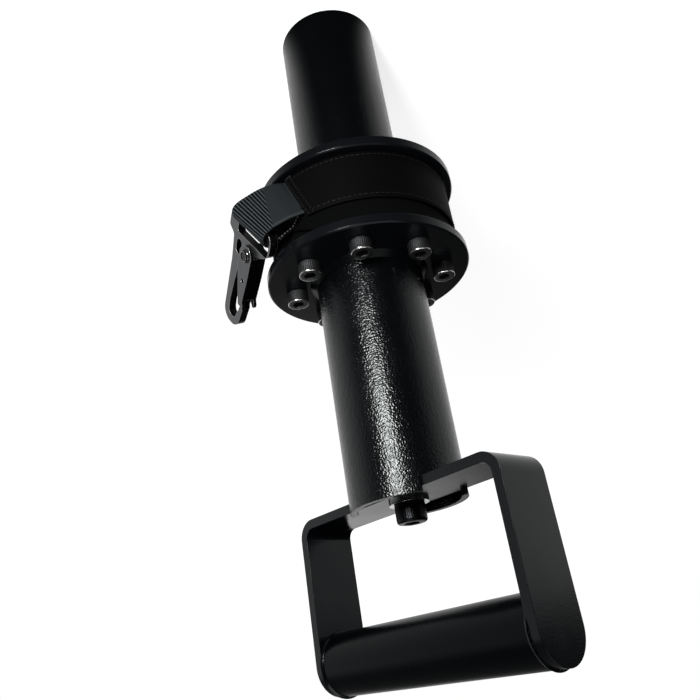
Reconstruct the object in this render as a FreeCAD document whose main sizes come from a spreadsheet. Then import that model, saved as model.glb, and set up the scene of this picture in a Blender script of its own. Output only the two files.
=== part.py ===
import FreeCAD, Part

import math
import os

import Sketcher
from FreeCAD import Placement, Rotation, Vector

# Twin-grip arm trainer: two grip tubes on one axis with a strap spool between them,
# a snap hook on the strap and a D-handle clamped across the end of the near tube.
# The tube axis is +Z. The far tube stands on z = 0 and the D-handle is at the top.

# Driving dimensions, in millimetres and degrees

SIZES = {
    # grip tubes and flanges
    "grip_diameter": 50.0,
    "grip_wall": 3.0,
    "far_grip_length": 104.0,
    "near_grip_length": 108.4,
    "tube_end_chamfer": 0.6,
    "flange_diameter": 96.0,
    "flange_thickness": 5.0,
    "flange_edge_bevel": 0.6,
    "weld_leg": 3.0,
    "weld_gap": 0.1,
    # plug in the free end of the far tube
    "plug_face": 3.0,
    "plug_depth": 14.0,
    "plug_wall": 2.0,
    "plug_gap": 0.05,
    # hub between the flanges
    "hub_diameter": 80.0,
    "hub_length": 36.0,
    # screws through the near flange
    "flange_screw_circle": 70.0,
    "flange_screw_count": 8.0,
    "flange_screw_turn": 2.5,
    "flange_screw_diameter": 6.0,
    "flange_screw_length": 20.0,
    "flange_screw_head": 10.0,
    "flange_screw_head_height": 6.0,
    "flange_screw_socket": 5.0,
    "flange_screw_socket_depth": 3.2,
    "flange_hole_diameter": 6.6,
    "thread_gap": 0.05,
    "tapped_depth": 18.0,
    # D-handle and its seat in the near tube
    "bar_width": 26.0,
    "bar_thickness": 4.0,
    "seat_gap": 0.3,
    "rim_past_bar": 2.3,
    "handle_width": 118.0,
    "handle_depth": 61.8,
    "bend_inside_radius": 4.5,
    "leg_end_flat": 0.05,
    "hand_grip_diameter": 26.0,
    "hand_grip_wall": 2.5,
    "hand_grip_gap": 0.05,
    "hand_grip_weld_leg": 1.4,
    "end_plate_thickness": 8.0,
    "end_plate_gap": 0.1,
    "handle_screw_diameter": 8.0,
    "handle_screw_length": 16.0,
    "handle_screw_head": 13.0,
    "handle_screw_head_height": 8.0,
    "handle_screw_socket": 6.0,
    "handle_screw_socket_depth": 4.2,
    "handle_hole_diameter": 9.0,
    "washer_diameter": 17.0,
    "washer_thickness": 1.6,
    "washer_bore": 8.4,
    # strap on the spool
    "strap_gap": 0.2,
    "winding_thickness": 1.4,
    "winding_width": 30.0,
    "label_band_thickness": 3.2,
    "label_band_width": 25.0,
    "label_band_offset": 0.8,
    "strap_break_length": 34.0,
    # webbing loop that carries the hook
    "webbing_thickness": 1.8,
    "webbing_width": 24.2,
    "seam_across": 6.6,
    "seam_reach": 42.9,
    "strap_tilt": 31.0,
    "strap_lean": 10.0,
    "loop_reach": 19.5,
    "loop_rise": 12.3,
    "eye_gap": 1.2,
    "eye_lift": 0.5,
    "bulge_radius": 24.0,
    "bulge_start_angle": 17.0,
    "eye_start_angle": 76.0,
    "eye_end_angle": 242.0,
    "return_length": 13.4,
    # snap hook
    "hook_droop": 19.1,
    "hook_offset": -0.4,
    "hook_setback": 0.5,
    "hook_thickness": 4.0,
    "hook_head_far": 20.3,
    "hook_head_near": 13.9,
    "hook_length": 60.1,
    "slot_far": 13.2,
    "slot_near": 12.9,
    "slot_height": 6.8,
    "slot_round": 1.5,
    "head_bar_height": 5.0,
    "spine_place": 14.3,
    "spine_width": 6.1,
    "spine_narrowing": 2.6,
    "bow_height": 4.0,
    "pivot_across": -0.7,
    "pivot_along": 15.5,
    "lug_radius": 3.5,
    "kidney_across": -10.0,
    "kidney_along": 16.0,
    "kidney_width": 4.5,
    "kidney_length": 7.5,
    "gate_depth": 8.0,
    "gate_sheet": 1.2,
    "gate_lobe_radius": 5.0,
    "gate_end_to_bow": 15.6,
    "gate_belly": 4.45,
    "gate_end_width": 2.8,
    "gate_foot": 0.7,
    "nose_tongue": 3.0,
    "nose_gap": 0.4,
    "gate_hole_diameter": 2.4,
    "rivet_diameter": 4.0,
    "rivet_gap": 0.05,
    "rivet_head": 6.6,
    "rivet_head_height": 1.1,
    "rivet_dish": 0.5,
    "spring_strip": 0.4,
    "spring_width": 3.2,
    "spring_gap": 0.1,
    "spring_foot_gap": 0.6,
    "spring_length": 12.5,
}

doc = FreeCAD.newDocument("ArmTrainer")
sheet = doc.addObject("Spreadsheet::Sheet", "Sizes")
for row, (alias, number) in enumerate(SIZES.items(), start=1):
    sheet.set(f"A{row}", alias.replace("_", " "))
    sheet.set(f"B{row}", str(number))
    sheet.setAlias(f"B{row}", alias)
doc.recompute()
size = {alias: float(sheet.get(alias)) for alias in SIZES}

parts = []


# Helpers for bodies, sketches and features

def new_body(label, height=""):
    """An empty body; height is the formula of its place along the tube axis."""
    body = doc.addObject("PartDesign::Body", label)
    body.Label = label
    body.AllowCompound = True
    if height:
        body.setExpression("Placement.Base.z", height)
    parts.append(body)
    return body


def new_sketch(body, name, role="XY_Plane", lift=""):
    """A sketch on one of the body's own origin planes, lifted off it by a formula."""
    sketch = body.newObject("Sketcher::SketchObject", name)
    plane = next(item for item in body.Origin.OriginFeatures if item.Role == role)
    sketch.AttachmentSupport = [(plane, "")]
    sketch.MapMode = "FlatFace"
    if lift:
        sketch.setExpression("AttachmentOffset.Base.z", lift)
    return sketch


def bind(sketch, constraint, formula):
    """Adds a constraint and ties it to a formula of the sheet."""
    index = sketch.addConstraint(constraint)
    sketch.setExpression(f"Constraints[{index}]", formula)


def circle(sketch, radius, across=""):
    """A circle on the sketch's origin, or at a distance along its first axis."""
    centre = Vector(1, 0, 0) if across else Vector(0, 0, 0)
    item = sketch.addGeometry(Part.Circle(centre, Vector(0, 0, 1), 1.0))
    if across:
        sketch.addConstraint(Sketcher.Constraint("PointOnObject", item, 3, -1))
        bind(sketch, Sketcher.Constraint("DistanceX", -1, 1, item, 3, 1.0), across)
    else:
        sketch.addConstraint(Sketcher.Constraint("Coincident", item, 3, -1, 1))
    bind(sketch, Sketcher.Constraint("Radius", item, 1.0), radius)


def rectangle(sketch, width, height):
    """A rectangle centred on the sketch's origin."""
    corners = [Vector(-1, -1, 0), Vector(1, -1, 0), Vector(1, 1, 0), Vector(-1, 1, 0)]
    first = sketch.GeometryCount
    for start, end in zip(corners, corners[1:] + corners[:1]):
        sketch.addGeometry(Part.LineSegment(start, end))
    for side in range(4):
        following = first + (side + 1) % 4
        sketch.addConstraint(Sketcher.Constraint("Coincident", first + side, 2, following, 1))
        direction = "Horizontal" if side % 2 == 0 else "Vertical"
        sketch.addConstraint(Sketcher.Constraint(direction, first + side))
    sketch.addConstraint(Sketcher.Constraint("Symmetric", first, 1, first + 2, 1, -1, 1))
    bind(sketch, Sketcher.Constraint("DistanceX", first, 1, first, 2, 2.0), width)
    bind(sketch, Sketcher.Constraint("DistanceY", first + 1, 1, first + 1, 2, 2.0), height)


def hexagon(sketch, across_flats, across=0.0):
    """A regular hexagon, as a screw's socket, at a distance along the sketch's first axis."""
    radius = across_flats / math.sqrt(3)
    turns = [math.radians(60 * step) for step in range(6)]
    outline(sketch, [(across + radius * math.cos(turn), radius * math.sin(turn), 0)
                     for turn in turns])


def outline(sketch, corners):
    """A closed outline through corners (x, y, rounding radius), with arcs at the rounded ones."""
    count = len(corners)
    ends = []
    arcs = []
    for index, (x, y, radius) in enumerate(corners):
        here = Vector(x, y, 0)
        if not radius:
            ends.append((here, here))
            arcs.append(None)
            continue
        back = Vector(*corners[index - 1][:2], 0) - here
        ahead = Vector(*corners[(index + 1) % count][:2], 0) - here
        back.normalize()
        ahead.normalize()
        half = back.getAngle(ahead) / 2
        start = here + back * (radius / math.tan(half))
        end = here + ahead * (radius / math.tan(half))
        bisector = back + ahead
        bisector.normalize()
        middle = here + bisector * (radius / math.sin(half) - radius)
        ends.append((start, end))
        arcs.append(Part.Arc(start, middle, end))
    for index in range(count):
        if arcs[index]:
            sketch.addGeometry(arcs[index])
        sketch.addGeometry(Part.LineSegment(ends[index][1], ends[(index + 1) % count][0]))


def ribbon(points, width):
    """Corners of a bent strip of this width whose middle runs through points."""
    left = []
    right = []
    for index, point in enumerate(points):
        steps = []
        if index > 0:
            steps.append((point - points[index - 1]).normalize())
        if index + 1 < len(points):
            steps.append((points[index + 1] - point).normalize())
        along = (steps[0] + steps[-1]).normalize()
        reach = width / 2 / along.dot(steps[0])
        sideways = Vector(-along.y, along.x, 0) * reach
        left.append(point + sideways)
        right.append(point - sideways)
    return [(corner.x, corner.y, 0) for corner in left + right[::-1]]


def pad(body, sketch, length, both_ways=False):
    feature = body.newObject("PartDesign::Pad", sketch.Name + "Pad")
    feature.Profile = sketch
    feature.Midplane = both_ways
    feature.setExpression("Length", length)
    doc.recompute()
    return feature


def pocket(body, sketch, depth="", both_ways=False, upwards=False):
    """Cuts a sketch out of the body and makes sure that it did cut."""
    before = body.Shape.Volume
    feature = body.newObject("PartDesign::Pocket", sketch.Name + "Pocket")
    feature.Profile = sketch
    feature.Midplane = both_ways
    feature.Reversed = upwards
    if depth:
        feature.setExpression("Length", depth)
    else:
        feature.Type = "ThroughAll"
    doc.recompute()
    if not feature.Shape.Volume < before:
        raise RuntimeError(f"{feature.Name} cuts nothing")
    return feature


def revolve(body, sketch, axis="V_Axis"):
    feature = body.newObject("PartDesign::Revolution", sketch.Name + "Turn")
    feature.Profile = sketch
    feature.ReferenceAxis = (sketch, [axis])
    feature.Angle = 360.0
    doc.recompute()
    return feature


def ring_of(body, features, count):
    """Repeats features evenly round the body's Z axis."""
    axis = next(item for item in body.Origin.OriginFeatures if item.Role == "Z_Axis")
    pattern = body.newObject("PartDesign::PolarPattern", body.Label + "Ring")
    pattern.Originals = features
    pattern.Axis = (axis, [""])
    pattern.Angle = 360.0
    pattern.setExpression("Occurrences", count)
    body.Tip = pattern
    doc.recompute()


def dress(body, kind, amount, wanted):
    """A fillet or chamfer on the tip's edges for which wanted is true."""
    base = body.Tip
    names = [f"Edge{i}" for i, edge in enumerate(base.Shape.Edges, start=1) if wanted(edge)]
    feature = body.newObject(f"PartDesign::{kind}", f"{body.Label}{kind}{len(body.Group)}")
    feature.Base = (base, names)
    feature.setExpression("Radius" if kind == "Fillet" else "Size", amount)
    doc.recompute()
    return feature


def is_ring(radius, height):
    """Tells a circular edge of this radius at this height in the body's own frame."""
    def test(edge):
        curve = edge.Curve
        return (isinstance(curve, Part.Circle) and abs(curve.Radius - radius) < 0.01
                and abs(curve.Center.z - height) < 0.01)
    return test


# Formulas and places that several pieces share

GRIP_RADIUS = "Sizes.grip_diameter / 2"
GRIP_BORE = "Sizes.grip_diameter / 2 - Sizes.grip_wall"
FAR_FLANGE_AT = "Sizes.far_grip_length"
HUB_AT = f"{FAR_FLANGE_AT} + Sizes.flange_thickness"
NEAR_FLANGE_AT = f"{HUB_AT} + Sizes.hub_length"
NEAR_GRIP_AT = f"{NEAR_FLANGE_AT} + Sizes.flange_thickness"
TUBE_END_AT = f"{NEAR_GRIP_AT} + Sizes.near_grip_length"
SEAT_DEPTH = "Sizes.rim_past_bar + Sizes.bar_thickness"
SEAT_AT = f"{TUBE_END_AT} - ({SEAT_DEPTH})"
HAND_GRIP_AT = f"{SEAT_AT} + Sizes.handle_depth"
SCREW_CIRCLE_RADIUS = "Sizes.flange_screw_circle / 2"

grip_radius = size["grip_diameter"] / 2
grip_bore = grip_radius - size["grip_wall"]
flange_radius = size["flange_diameter"] / 2
hook_half = size["hook_thickness"] / 2


# Far grip: tube, plug, flange and weld

def far_grip_tube():
    body = new_body("far_grip_tube")
    sketch = new_sketch(body, "FarTube")
    circle(sketch, GRIP_RADIUS)
    circle(sketch, GRIP_BORE)
    pad(body, sketch, f"{FAR_FLANGE_AT} + Sizes.flange_thickness")
    dress(body, "Chamfer", "Sizes.tube_end_chamfer", is_ring(grip_radius, 0))


def far_end_plug():
    """A cup pushed into the free end of the far tube, its face flush with the tube's rim."""
    body = new_body("far_end_plug")
    sketch = new_sketch(body, "Plug", "XZ_Plane")
    radius = grip_bore - size["plug_gap"]
    inside = radius - size["plug_wall"]
    outline(sketch, [
        (0, 0, 0),
        (radius, 0, 0),
        (radius, size["plug_depth"], 0),
        (inside, size["plug_depth"], 0),
        (inside, size["plug_face"], 0),
        (0, size["plug_face"], 0),
    ])
    revolve(body, sketch)


def flange(label, height):
    body = new_body(label, height)
    sketch = new_sketch(body, label + "Disc")
    circle(sketch, "Sizes.flange_diameter / 2")
    circle(sketch, f"{GRIP_RADIUS} + Sizes.weld_gap")
    pad(body, sketch, "Sizes.flange_thickness")
    return body


def bevel_flange_rim(body):
    dress(body, "Chamfer", "Sizes.flange_edge_bevel",
          lambda edge: is_ring(flange_radius, 0)(edge)
          or is_ring(flange_radius, size["flange_thickness"])(edge))


def weld_ring(label, height, upwards):
    """A fillet weld round a grip tube, in the corner between tube and flange."""
    body = new_body(label, height)
    sketch = new_sketch(body, label + "Bead", "XZ_Plane")
    leg = size["weld_leg"]
    rise = leg if upwards else -leg
    inner = grip_radius + size["weld_gap"]
    outline(sketch, [(inner, 0, 0), (inner + leg, 0, 0), (inner, rise, 0)])
    revolve(body, sketch)


# Spool hub and the near grip

def spool_hub():
    body = new_body("spool_hub", HUB_AT)
    body.setExpression("Placement.Rotation.Angle", "Sizes.flange_screw_turn")
    sketch = new_sketch(body, "HubRing")
    circle(sketch, "Sizes.hub_diameter / 2")
    circle(sketch, GRIP_RADIUS)
    pad(body, sketch, "Sizes.hub_length")
    hole = new_sketch(body, "TappedHole", lift="Sizes.hub_length")
    circle(hole, "Sizes.flange_screw_diameter / 2 + Sizes.thread_gap", SCREW_CIRCLE_RADIUS)
    ring_of(body, [pocket(body, hole, "Sizes.tapped_depth")], "Sizes.flange_screw_count")


def near_flange():
    body = flange("near_flange", NEAR_FLANGE_AT)
    body.setExpression("Placement.Rotation.Angle", "Sizes.flange_screw_turn")
    hole = new_sketch(body, "ScrewHole", lift="Sizes.flange_thickness")
    circle(hole, "Sizes.flange_hole_diameter / 2", SCREW_CIRCLE_RADIUS)
    ring_of(body, [pocket(body, hole, "Sizes.flange_thickness")], "Sizes.flange_screw_count")
    bevel_flange_rim(body)


def near_grip_tube():
    """The near tube, with a seat across its end for the D-handle's bar."""
    body = new_body("near_grip_tube", NEAR_FLANGE_AT)
    tube_length = "Sizes.flange_thickness + Sizes.near_grip_length"
    sketch = new_sketch(body, "NearTube")
    circle(sketch, GRIP_RADIUS)
    circle(sketch, GRIP_BORE)
    pad(body, sketch, tube_length)
    seat = new_sketch(body, "BarSeat", lift=tube_length)
    rectangle(seat, "Sizes.grip_diameter * 2", "Sizes.bar_width + 2 * Sizes.seat_gap")
    pocket(body, seat, SEAT_DEPTH)


def threaded_end_plate():
    """The plate welded inside the near tube that the D-handle's screw threads into."""
    body = new_body("threaded_end_plate", f"{SEAT_AT} - Sizes.end_plate_thickness")
    sketch = new_sketch(body, "EndPlate")
    circle(sketch, f"{GRIP_BORE} - Sizes.end_plate_gap")
    circle(sketch, "Sizes.handle_screw_diameter / 2 + Sizes.thread_gap")
    pad(body, sketch, "Sizes.end_plate_thickness")


def cap_screw(body, kind, across=""):
    """A socket head cap screw, its head seated on the body's origin plane."""
    shank = new_sketch(body, body.Label + "Shank", lift=f"-Sizes.{kind}_length")
    circle(shank, f"Sizes.{kind}_diameter / 2", across)
    shank_pad = pad(body, shank, f"Sizes.{kind}_length")
    head = new_sketch(body, body.Label + "Head")
    circle(head, f"Sizes.{kind}_head / 2", across)
    head_pad = pad(body, head, f"Sizes.{kind}_head_height")
    socket = new_sketch(body, body.Label + "Socket", lift=f"Sizes.{kind}_head_height")
    hexagon(socket, size[f"{kind}_socket"], size["flange_screw_circle"] / 2 if across else 0.0)
    socket_cut = pocket(body, socket, f"Sizes.{kind}_socket_depth")
    return [shank_pad, head_pad, socket_cut]


def flange_screws():
    body = new_body("flange_screws", NEAR_GRIP_AT)
    body.setExpression("Placement.Rotation.Angle", "Sizes.flange_screw_turn")
    features = cap_screw(body, "flange_screw", SCREW_CIRCLE_RADIUS)
    ring_of(body, features, "Sizes.flange_screw_count")


# D-handle

def handle_bracket():
    """Flat bar bent to a U: its middle lies in the tube's seat and its legs carry the hand grip."""
    body = new_body("handle_bracket", SEAT_AT)
    half = size["handle_width"] / 2
    thickness = size["bar_thickness"]
    inside = half - thickness
    reach = size["handle_depth"] + size["bar_width"] / 2
    bend = size["bend_inside_radius"]
    sketch = new_sketch(body, "BentBar", "XZ_Plane")
    outline(sketch, [
        (-half, reach, 0),
        (-half, 0, bend + thickness),
        (half, 0, bend + thickness),
        (half, reach, 0),
        (inside, reach, 0),
        (inside, thickness, bend),
        (-inside, thickness, bend),
        (-inside, reach, 0),
    ])
    pad(body, sketch, "Sizes.bar_width", both_ways=True)
    dress(body, "Fillet", "Sizes.bar_width / 2 - Sizes.leg_end_flat",
          lambda edge: abs(edge.CenterOfMass.z - reach) < 0.01
          and abs(edge.Length - thickness) < 0.01)
    hole = new_sketch(body, "ScrewHoleInBar", lift="Sizes.bar_thickness")
    circle(hole, "Sizes.handle_hole_diameter / 2")
    pocket(body, hole, "Sizes.bar_thickness")


def hand_grip_tube():
    body = new_body("hand_grip_tube", HAND_GRIP_AT)
    sketch = new_sketch(body, "HandGrip", "YZ_Plane")
    circle(sketch, "Sizes.hand_grip_diameter / 2")
    circle(sketch, "Sizes.hand_grip_diameter / 2 - Sizes.hand_grip_wall")
    pad(body, sketch, "Sizes.handle_width - 2 * Sizes.bar_thickness - 2 * Sizes.hand_grip_gap",
        both_ways=True)


def hand_grip_welds():
    """A weld bead at each end of the hand grip, inside the legs."""
    body = new_body("hand_grip_welds", HAND_GRIP_AT)
    sketch = new_sketch(body, "GripBeads", "XZ_Plane")
    face = size["handle_width"] / 2 - size["bar_thickness"]
    leg = size["hand_grip_weld_leg"]
    low = size["hand_grip_diameter"] / 2 + size["hand_grip_gap"]
    for side in (-1, 1):
        outline(sketch, [(side * face, low, 0), (side * face, low + leg * 0.6, 0),
                         (side * (face - leg), low, 0)])
    revolve(body, sketch, "H_Axis")


def handle_washer():
    body = new_body("handle_washer", f"{SEAT_AT} + Sizes.bar_thickness")
    sketch = new_sketch(body, "Washer")
    circle(sketch, "Sizes.washer_diameter / 2")
    circle(sketch, "Sizes.washer_bore / 2")
    pad(body, sketch, "Sizes.washer_thickness")


def handle_screw():
    body = new_body("handle_screw", f"{SEAT_AT} + Sizes.bar_thickness + Sizes.washer_thickness")
    cap_screw(body, "handle_screw")


# Strap: winding, label band and the loop that carries the hook

strap_turn = (Rotation(Vector(0, 1, 0), size["strap_tilt"])
              * Rotation(Vector(1, 0, 0), size["strap_lean"]))
seam_height = (size["far_grip_length"] + size["flange_thickness"] + size["label_band_offset"]
               + 0.4 * size["label_band_width"])
strap_place = Placement(Vector(size["seam_across"], size["seam_reach"], seam_height), strap_turn)
winding_radius = size["hub_diameter"] / 2 + size["strap_gap"] + size["winding_thickness"]
WINDING_RADIUS = "Sizes.hub_diameter / 2 + Sizes.strap_gap + Sizes.winding_thickness"


def strap_winding():
    body = new_body("strap_winding", f"{HUB_AT} + (Sizes.hub_length - Sizes.winding_width) / 2")
    sketch = new_sketch(body, "Winding")
    circle(sketch, WINDING_RADIUS)
    circle(sketch, "Sizes.hub_diameter / 2 + Sizes.strap_gap")
    pad(body, sketch, "Sizes.winding_width")


def strap_label_band():
    """The outer turn of the strap, cut open where the hook's loop leaves the spool."""
    body = new_body("strap_label_turn", f"{HUB_AT} + Sizes.label_band_offset")
    parts.remove(body)
    sketch = new_sketch(body, "LabelTurn")
    circle(sketch, f"{WINDING_RADIUS} + Sizes.strap_gap + Sizes.label_band_thickness")
    circle(sketch, f"{WINDING_RADIUS} + Sizes.strap_gap")
    pad(body, sketch, "Sizes.label_band_width")
    gap = doc.addObject("Part::Box", "StrapBreak")
    gap.setExpression("Length", "Sizes.strap_break_length")
    gap.setExpression("Width", "Sizes.hub_diameter / 4")
    gap.setExpression("Height", "Sizes.label_band_width * 3")
    corner = Vector(-size["strap_break_length"], -size["hub_diameter"] / 8,
                    -size["label_band_width"] * 1.5)
    gap.Placement = strap_place * Placement(corner, Rotation())
    band = doc.addObject("Part::Cut", "strap_label_band")
    band.Label = "strap_label_band"
    band.Base = body
    band.Tool = gap
    parts.append(band)


def hook_webbing_loop():
    """Webbing from the spool, round the hook's head bar and back beneath itself."""
    body = new_body("hook_webbing_loop")
    body.Placement = strap_place
    half = size["webbing_thickness"] / 2
    inner_eye = (math.hypot(size["head_bar_height"] / 2, hook_half) + size["eye_gap"])
    middle_eye = inner_eye + half
    lift = size["eye_lift"] / math.sqrt(2)
    bar = Vector(-size["loop_reach"] - lift, size["loop_rise"] + lift, 0)
    start = math.radians(size["bulge_start_angle"])
    crown = math.radians(size["eye_start_angle"])
    foot = math.radians(size["eye_end_angle"])

    def ray(angle):
        return Vector(math.cos(angle), math.sin(angle), 0)

    bulge_centre = bar - ray(crown) * (size["bulge_radius"] - middle_eye)
    along_return = Vector(-math.sin(foot), math.cos(foot), 0)

    def side(offset):
        """One face of the webbing: bulge, eye and return, as arcs and a line."""
        bulge = size["bulge_radius"] + offset
        eye = middle_eye + offset
        last = bar + ray(foot) * eye
        return [
            Part.Arc(bulge_centre + ray(start) * bulge,
                     bulge_centre + ray((start + crown) / 2) * bulge,
                     bulge_centre + ray(crown) * bulge),
            Part.Arc(bar + ray(crown) * eye, bar + ray((crown + foot) / 2) * eye, last),
            Part.LineSegment(last, last + along_return * size["return_length"]),
        ]

    sketch = new_sketch(body, "LoopProfile")
    outer = side(half)
    inner = side(-half)
    for curve in outer + inner:
        sketch.addGeometry(curve)
    sketch.addGeometry(Part.LineSegment(outer[0].StartPoint, inner[0].StartPoint))
    sketch.addGeometry(Part.LineSegment(outer[2].EndPoint, inner[2].EndPoint))
    pad(body, sketch, "Sizes.webbing_width", both_ways=True)


# Snap hook: x across the hook, y from the head bar to the bow, z through the plate

droop = math.radians(size["hook_droop"])
hook_along = Vector(-math.cos(droop), -math.sin(droop), 0)
hook_through = Vector(math.sin(droop), -math.cos(droop), 0)
hook_turn = strap_turn * Rotation(Vector(0, 0, 1), hook_along, hook_through, "XYZ")
bar_centre = (Vector(-size["loop_reach"], size["loop_rise"], size["hook_offset"])
              + hook_through * size["hook_setback"])
hook_place = Placement(strap_place.multVec(bar_centre), hook_turn)

pivot_x = size["pivot_across"]
pivot_y = size["pivot_along"]
half_bar = size["head_bar_height"] / 2
slot_end = half_bar + size["slot_height"]
bow_end = size["hook_length"] - half_bar
gate_end = bow_end - size["gate_end_to_bow"]
web_outer = pivot_x + size["gate_lobe_radius"]
tip_outer = pivot_x + 2.1
tip_inner = pivot_x - 0.3


def plate_hole(body, name, corners):
    sketch = new_sketch(body, name)
    outline(sketch, corners)
    pocket(body, sketch, both_ways=True)


def hook_plate():
    """Stamped plate: slotted head, rivet lug, straight spine and a bow that ends in the nose."""
    body = new_body("hook_plate")
    body.Placement = hook_place
    far = -size["hook_head_far"]
    near = size["hook_head_near"]
    spine = -size["spine_place"]
    spine_inside = spine + size["spine_width"]
    narrow = spine_inside - size["spine_narrowing"]
    lug = size["lug_radius"]
    bow_inside = bow_end - size["bow_height"]
    nose_top = gate_end - size["nose_tongue"]
    nose_outer = gate_end_outer() - size["gate_sheet"]
    sketch = new_sketch(body, "HookPlate")
    outline(sketch, [
        (far, -half_bar, 8.0),
        (near, -half_bar, 5.0),
        (near, slot_end - 1.9, 3.0),
        (near - 3.6, slot_end + 1.4, 5.0),
        (pivot_x + lug, pivot_y - 1.2, 2.5),
        (pivot_x + lug, pivot_y + lug, lug - 0.2),
        (pivot_x - lug, pivot_y + lug + 0.8, 3.0),
        (spine_inside, pivot_y + 10.5, 2.2),
        (narrow, bow_inside - 6.3, 20.0),
        (narrow + 0.6, bow_inside, 3.2),
        (tip_inner - 3.2, bow_inside, 3.2),
        (tip_inner - 0.7, bow_inside - 8.3, 8.0),
        (tip_inner, gate_end + 0.8, 1.0),
        (tip_inner + 1.1, nose_top, 0.3),
        (nose_outer, nose_top, 0.3),
        (nose_outer, gate_end + 0.6, 0.3),
        (tip_outer, gate_end + 2.0, 1.0),
        (tip_outer - 0.6, bow_end - 10.3, 15.0),
        (tip_outer - 2.4, bow_end, 6.2),
        (spine - 0.1, bow_end, 6.6),
        (spine, pivot_y + 8.5, 30.0),
        (spine - 1.3, slot_end + 2.9, 2.5),
        (far, slot_end + 0.3, 2.0),
    ])
    pad(body, sketch, "Sizes.hook_thickness", both_ways=True)
    corner = size["slot_round"]
    plate_hole(body, "WebbingSlot", [
        (-size["slot_far"], half_bar, corner),
        (size["slot_near"], half_bar, corner),
        (size["slot_near"], slot_end, corner),
        (-size["slot_far"], slot_end, corner),
    ])
    kidney = size["kidney_width"] / 2
    kidney_half = size["kidney_length"] / 2
    kidney_x = size["kidney_across"]
    kidney_y = size["kidney_along"]
    kidney_round = kidney - 0.05
    plate_hole(body, "KidneyHole", [
        (kidney_x - kidney, kidney_y - kidney_half, kidney_round),
        (kidney_x + kidney, kidney_y - kidney_half, kidney_round),
        (kidney_x + kidney, kidney_y + kidney_half, kidney_round),
        (kidney_x - kidney, kidney_y + kidney_half, kidney_round),
    ])
    rivet_hole(body, "RivetHole", size["rivet_diameter"] / 2)


def gate_end_outer():
    """The web's outer face at the gate's free end, across the hook."""
    return pivot_x + 0.1 + size["gate_end_width"]


def rivet_hole(body, name, radius):
    sketch = new_sketch(body, name)
    sketch.addGeometry(Part.Circle(Vector(pivot_x, pivot_y, 0), Vector(0, 0, 1), radius))
    pocket(body, sketch, both_ways=True)


def hook_gate():
    """Folded channel over the plate: two cheeks joined by a web on the open side.

    The web's foot stops on the plate's shoulder, and its free end is slotted for the nose.
    """
    body = new_body("hook_gate")
    body.Placement = hook_place
    sheet_metal = size["gate_sheet"]
    lobe = size["gate_lobe_radius"]
    belly_y = pivot_y + 10.5
    web_belly = pivot_x + size["gate_belly"]
    end_outer = gate_end_outer()
    end_inner = end_outer - size["gate_end_width"]
    sketch = new_sketch(body, "GateOutline")
    outline(sketch, [
        (pivot_x - lobe, pivot_y - lobe, lobe - 0.2),
        (web_outer, pivot_y - lobe, lobe - 0.2),
        (web_belly, belly_y, 30.0),
        (end_outer, gate_end, 0.6),
        (end_inner, gate_end, 0.8),
        (pivot_x - lobe, pivot_y + 7.5, 6.0),
    ])
    pad(body, sketch, "Sizes.gate_depth", both_ways=True)
    hollow = new_sketch(body, "GateHollow")
    beyond = pivot_x - 3 * lobe
    outline(hollow, [
        (beyond, pivot_y - 2 * lobe, 0),
        (web_outer + lobe, pivot_y - 2 * lobe, 0),
        (web_outer + lobe, pivot_y - size["gate_foot"], 0),
        (web_outer - sheet_metal, pivot_y - size["gate_foot"], 0),
        (web_belly - sheet_metal, belly_y, 30.0),
        (end_outer - sheet_metal, gate_end + 1, 0),
        (beyond, gate_end + 1, 0),
    ])
    pocket(body, hollow, "Sizes.gate_depth - 2 * Sizes.gate_sheet", both_ways=True)
    rivet_hole(body, "GateRivetHole", size["rivet_diameter"] / 2 + size["rivet_gap"])
    peep = new_sketch(body, "GateHole")
    peep.addGeometry(Part.Circle(Vector(pivot_x + 0.9, pivot_y + 12.9, 0), Vector(0, 0, 1),
                                 size["gate_hole_diameter"] / 2))
    pocket(body, peep, "Sizes.gate_depth")
    lip = new_sketch(body, "ThumbLip")
    outline(lip, [
        (end_outer - sheet_metal, gate_end - 2.2, 0),
        (end_outer, gate_end - 3.4, 0),
        (end_outer + 1.4, gate_end - 0.6, 0.4),
        (end_outer + 1.4, gate_end + 1.2, 0.4),
        (end_outer + 0.2, gate_end + 1.2, 0.4),
        (end_outer - sheet_metal, gate_end - 0.9, 0),
    ])
    pad(body, lip, "Sizes.gate_depth", both_ways=True)
    nose_slot = new_sketch(body, "NoseSlot")
    slot_top = gate_end - size["nose_tongue"] - size["nose_gap"]
    outline(nose_slot, [
        (end_inner, slot_top, 0),
        (end_outer + lobe, slot_top, 0),
        (end_outer + lobe, gate_end + 2, 0),
        (end_inner, gate_end + 2, 0),
    ])
    pocket(body, nose_slot, "Sizes.hook_thickness + 2 * Sizes.nose_gap", both_ways=True)


def gate_rivet():
    """Rivet through both cheeks and the lug; its front head is dished where it was peened."""
    body = new_body("gate_rivet")
    body.Placement = hook_place * Placement(Vector(pivot_x, pivot_y, 0), Rotation())
    sketch = new_sketch(body, "Rivet", "XZ_Plane")
    shank = size["rivet_diameter"] / 2
    head = size["rivet_head"] / 2
    under = size["gate_depth"] / 2 + size["rivet_gap"]
    top = under + size["rivet_head_height"]
    outline(sketch, [
        (0, size["rivet_dish"] - top, 0),
        (head * 0.5, size["rivet_dish"] - top, 0),
        (head * 0.7, -top, 0),
        (head, -(under + top) / 2, 0),
        (head, -under, 0),
        (shank, -under, 0),
        (shank, under, 0),
        (head, under, 0),
        (head, top, 0),
        (0, top, 0),
    ])
    revolve(body, sketch)


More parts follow.
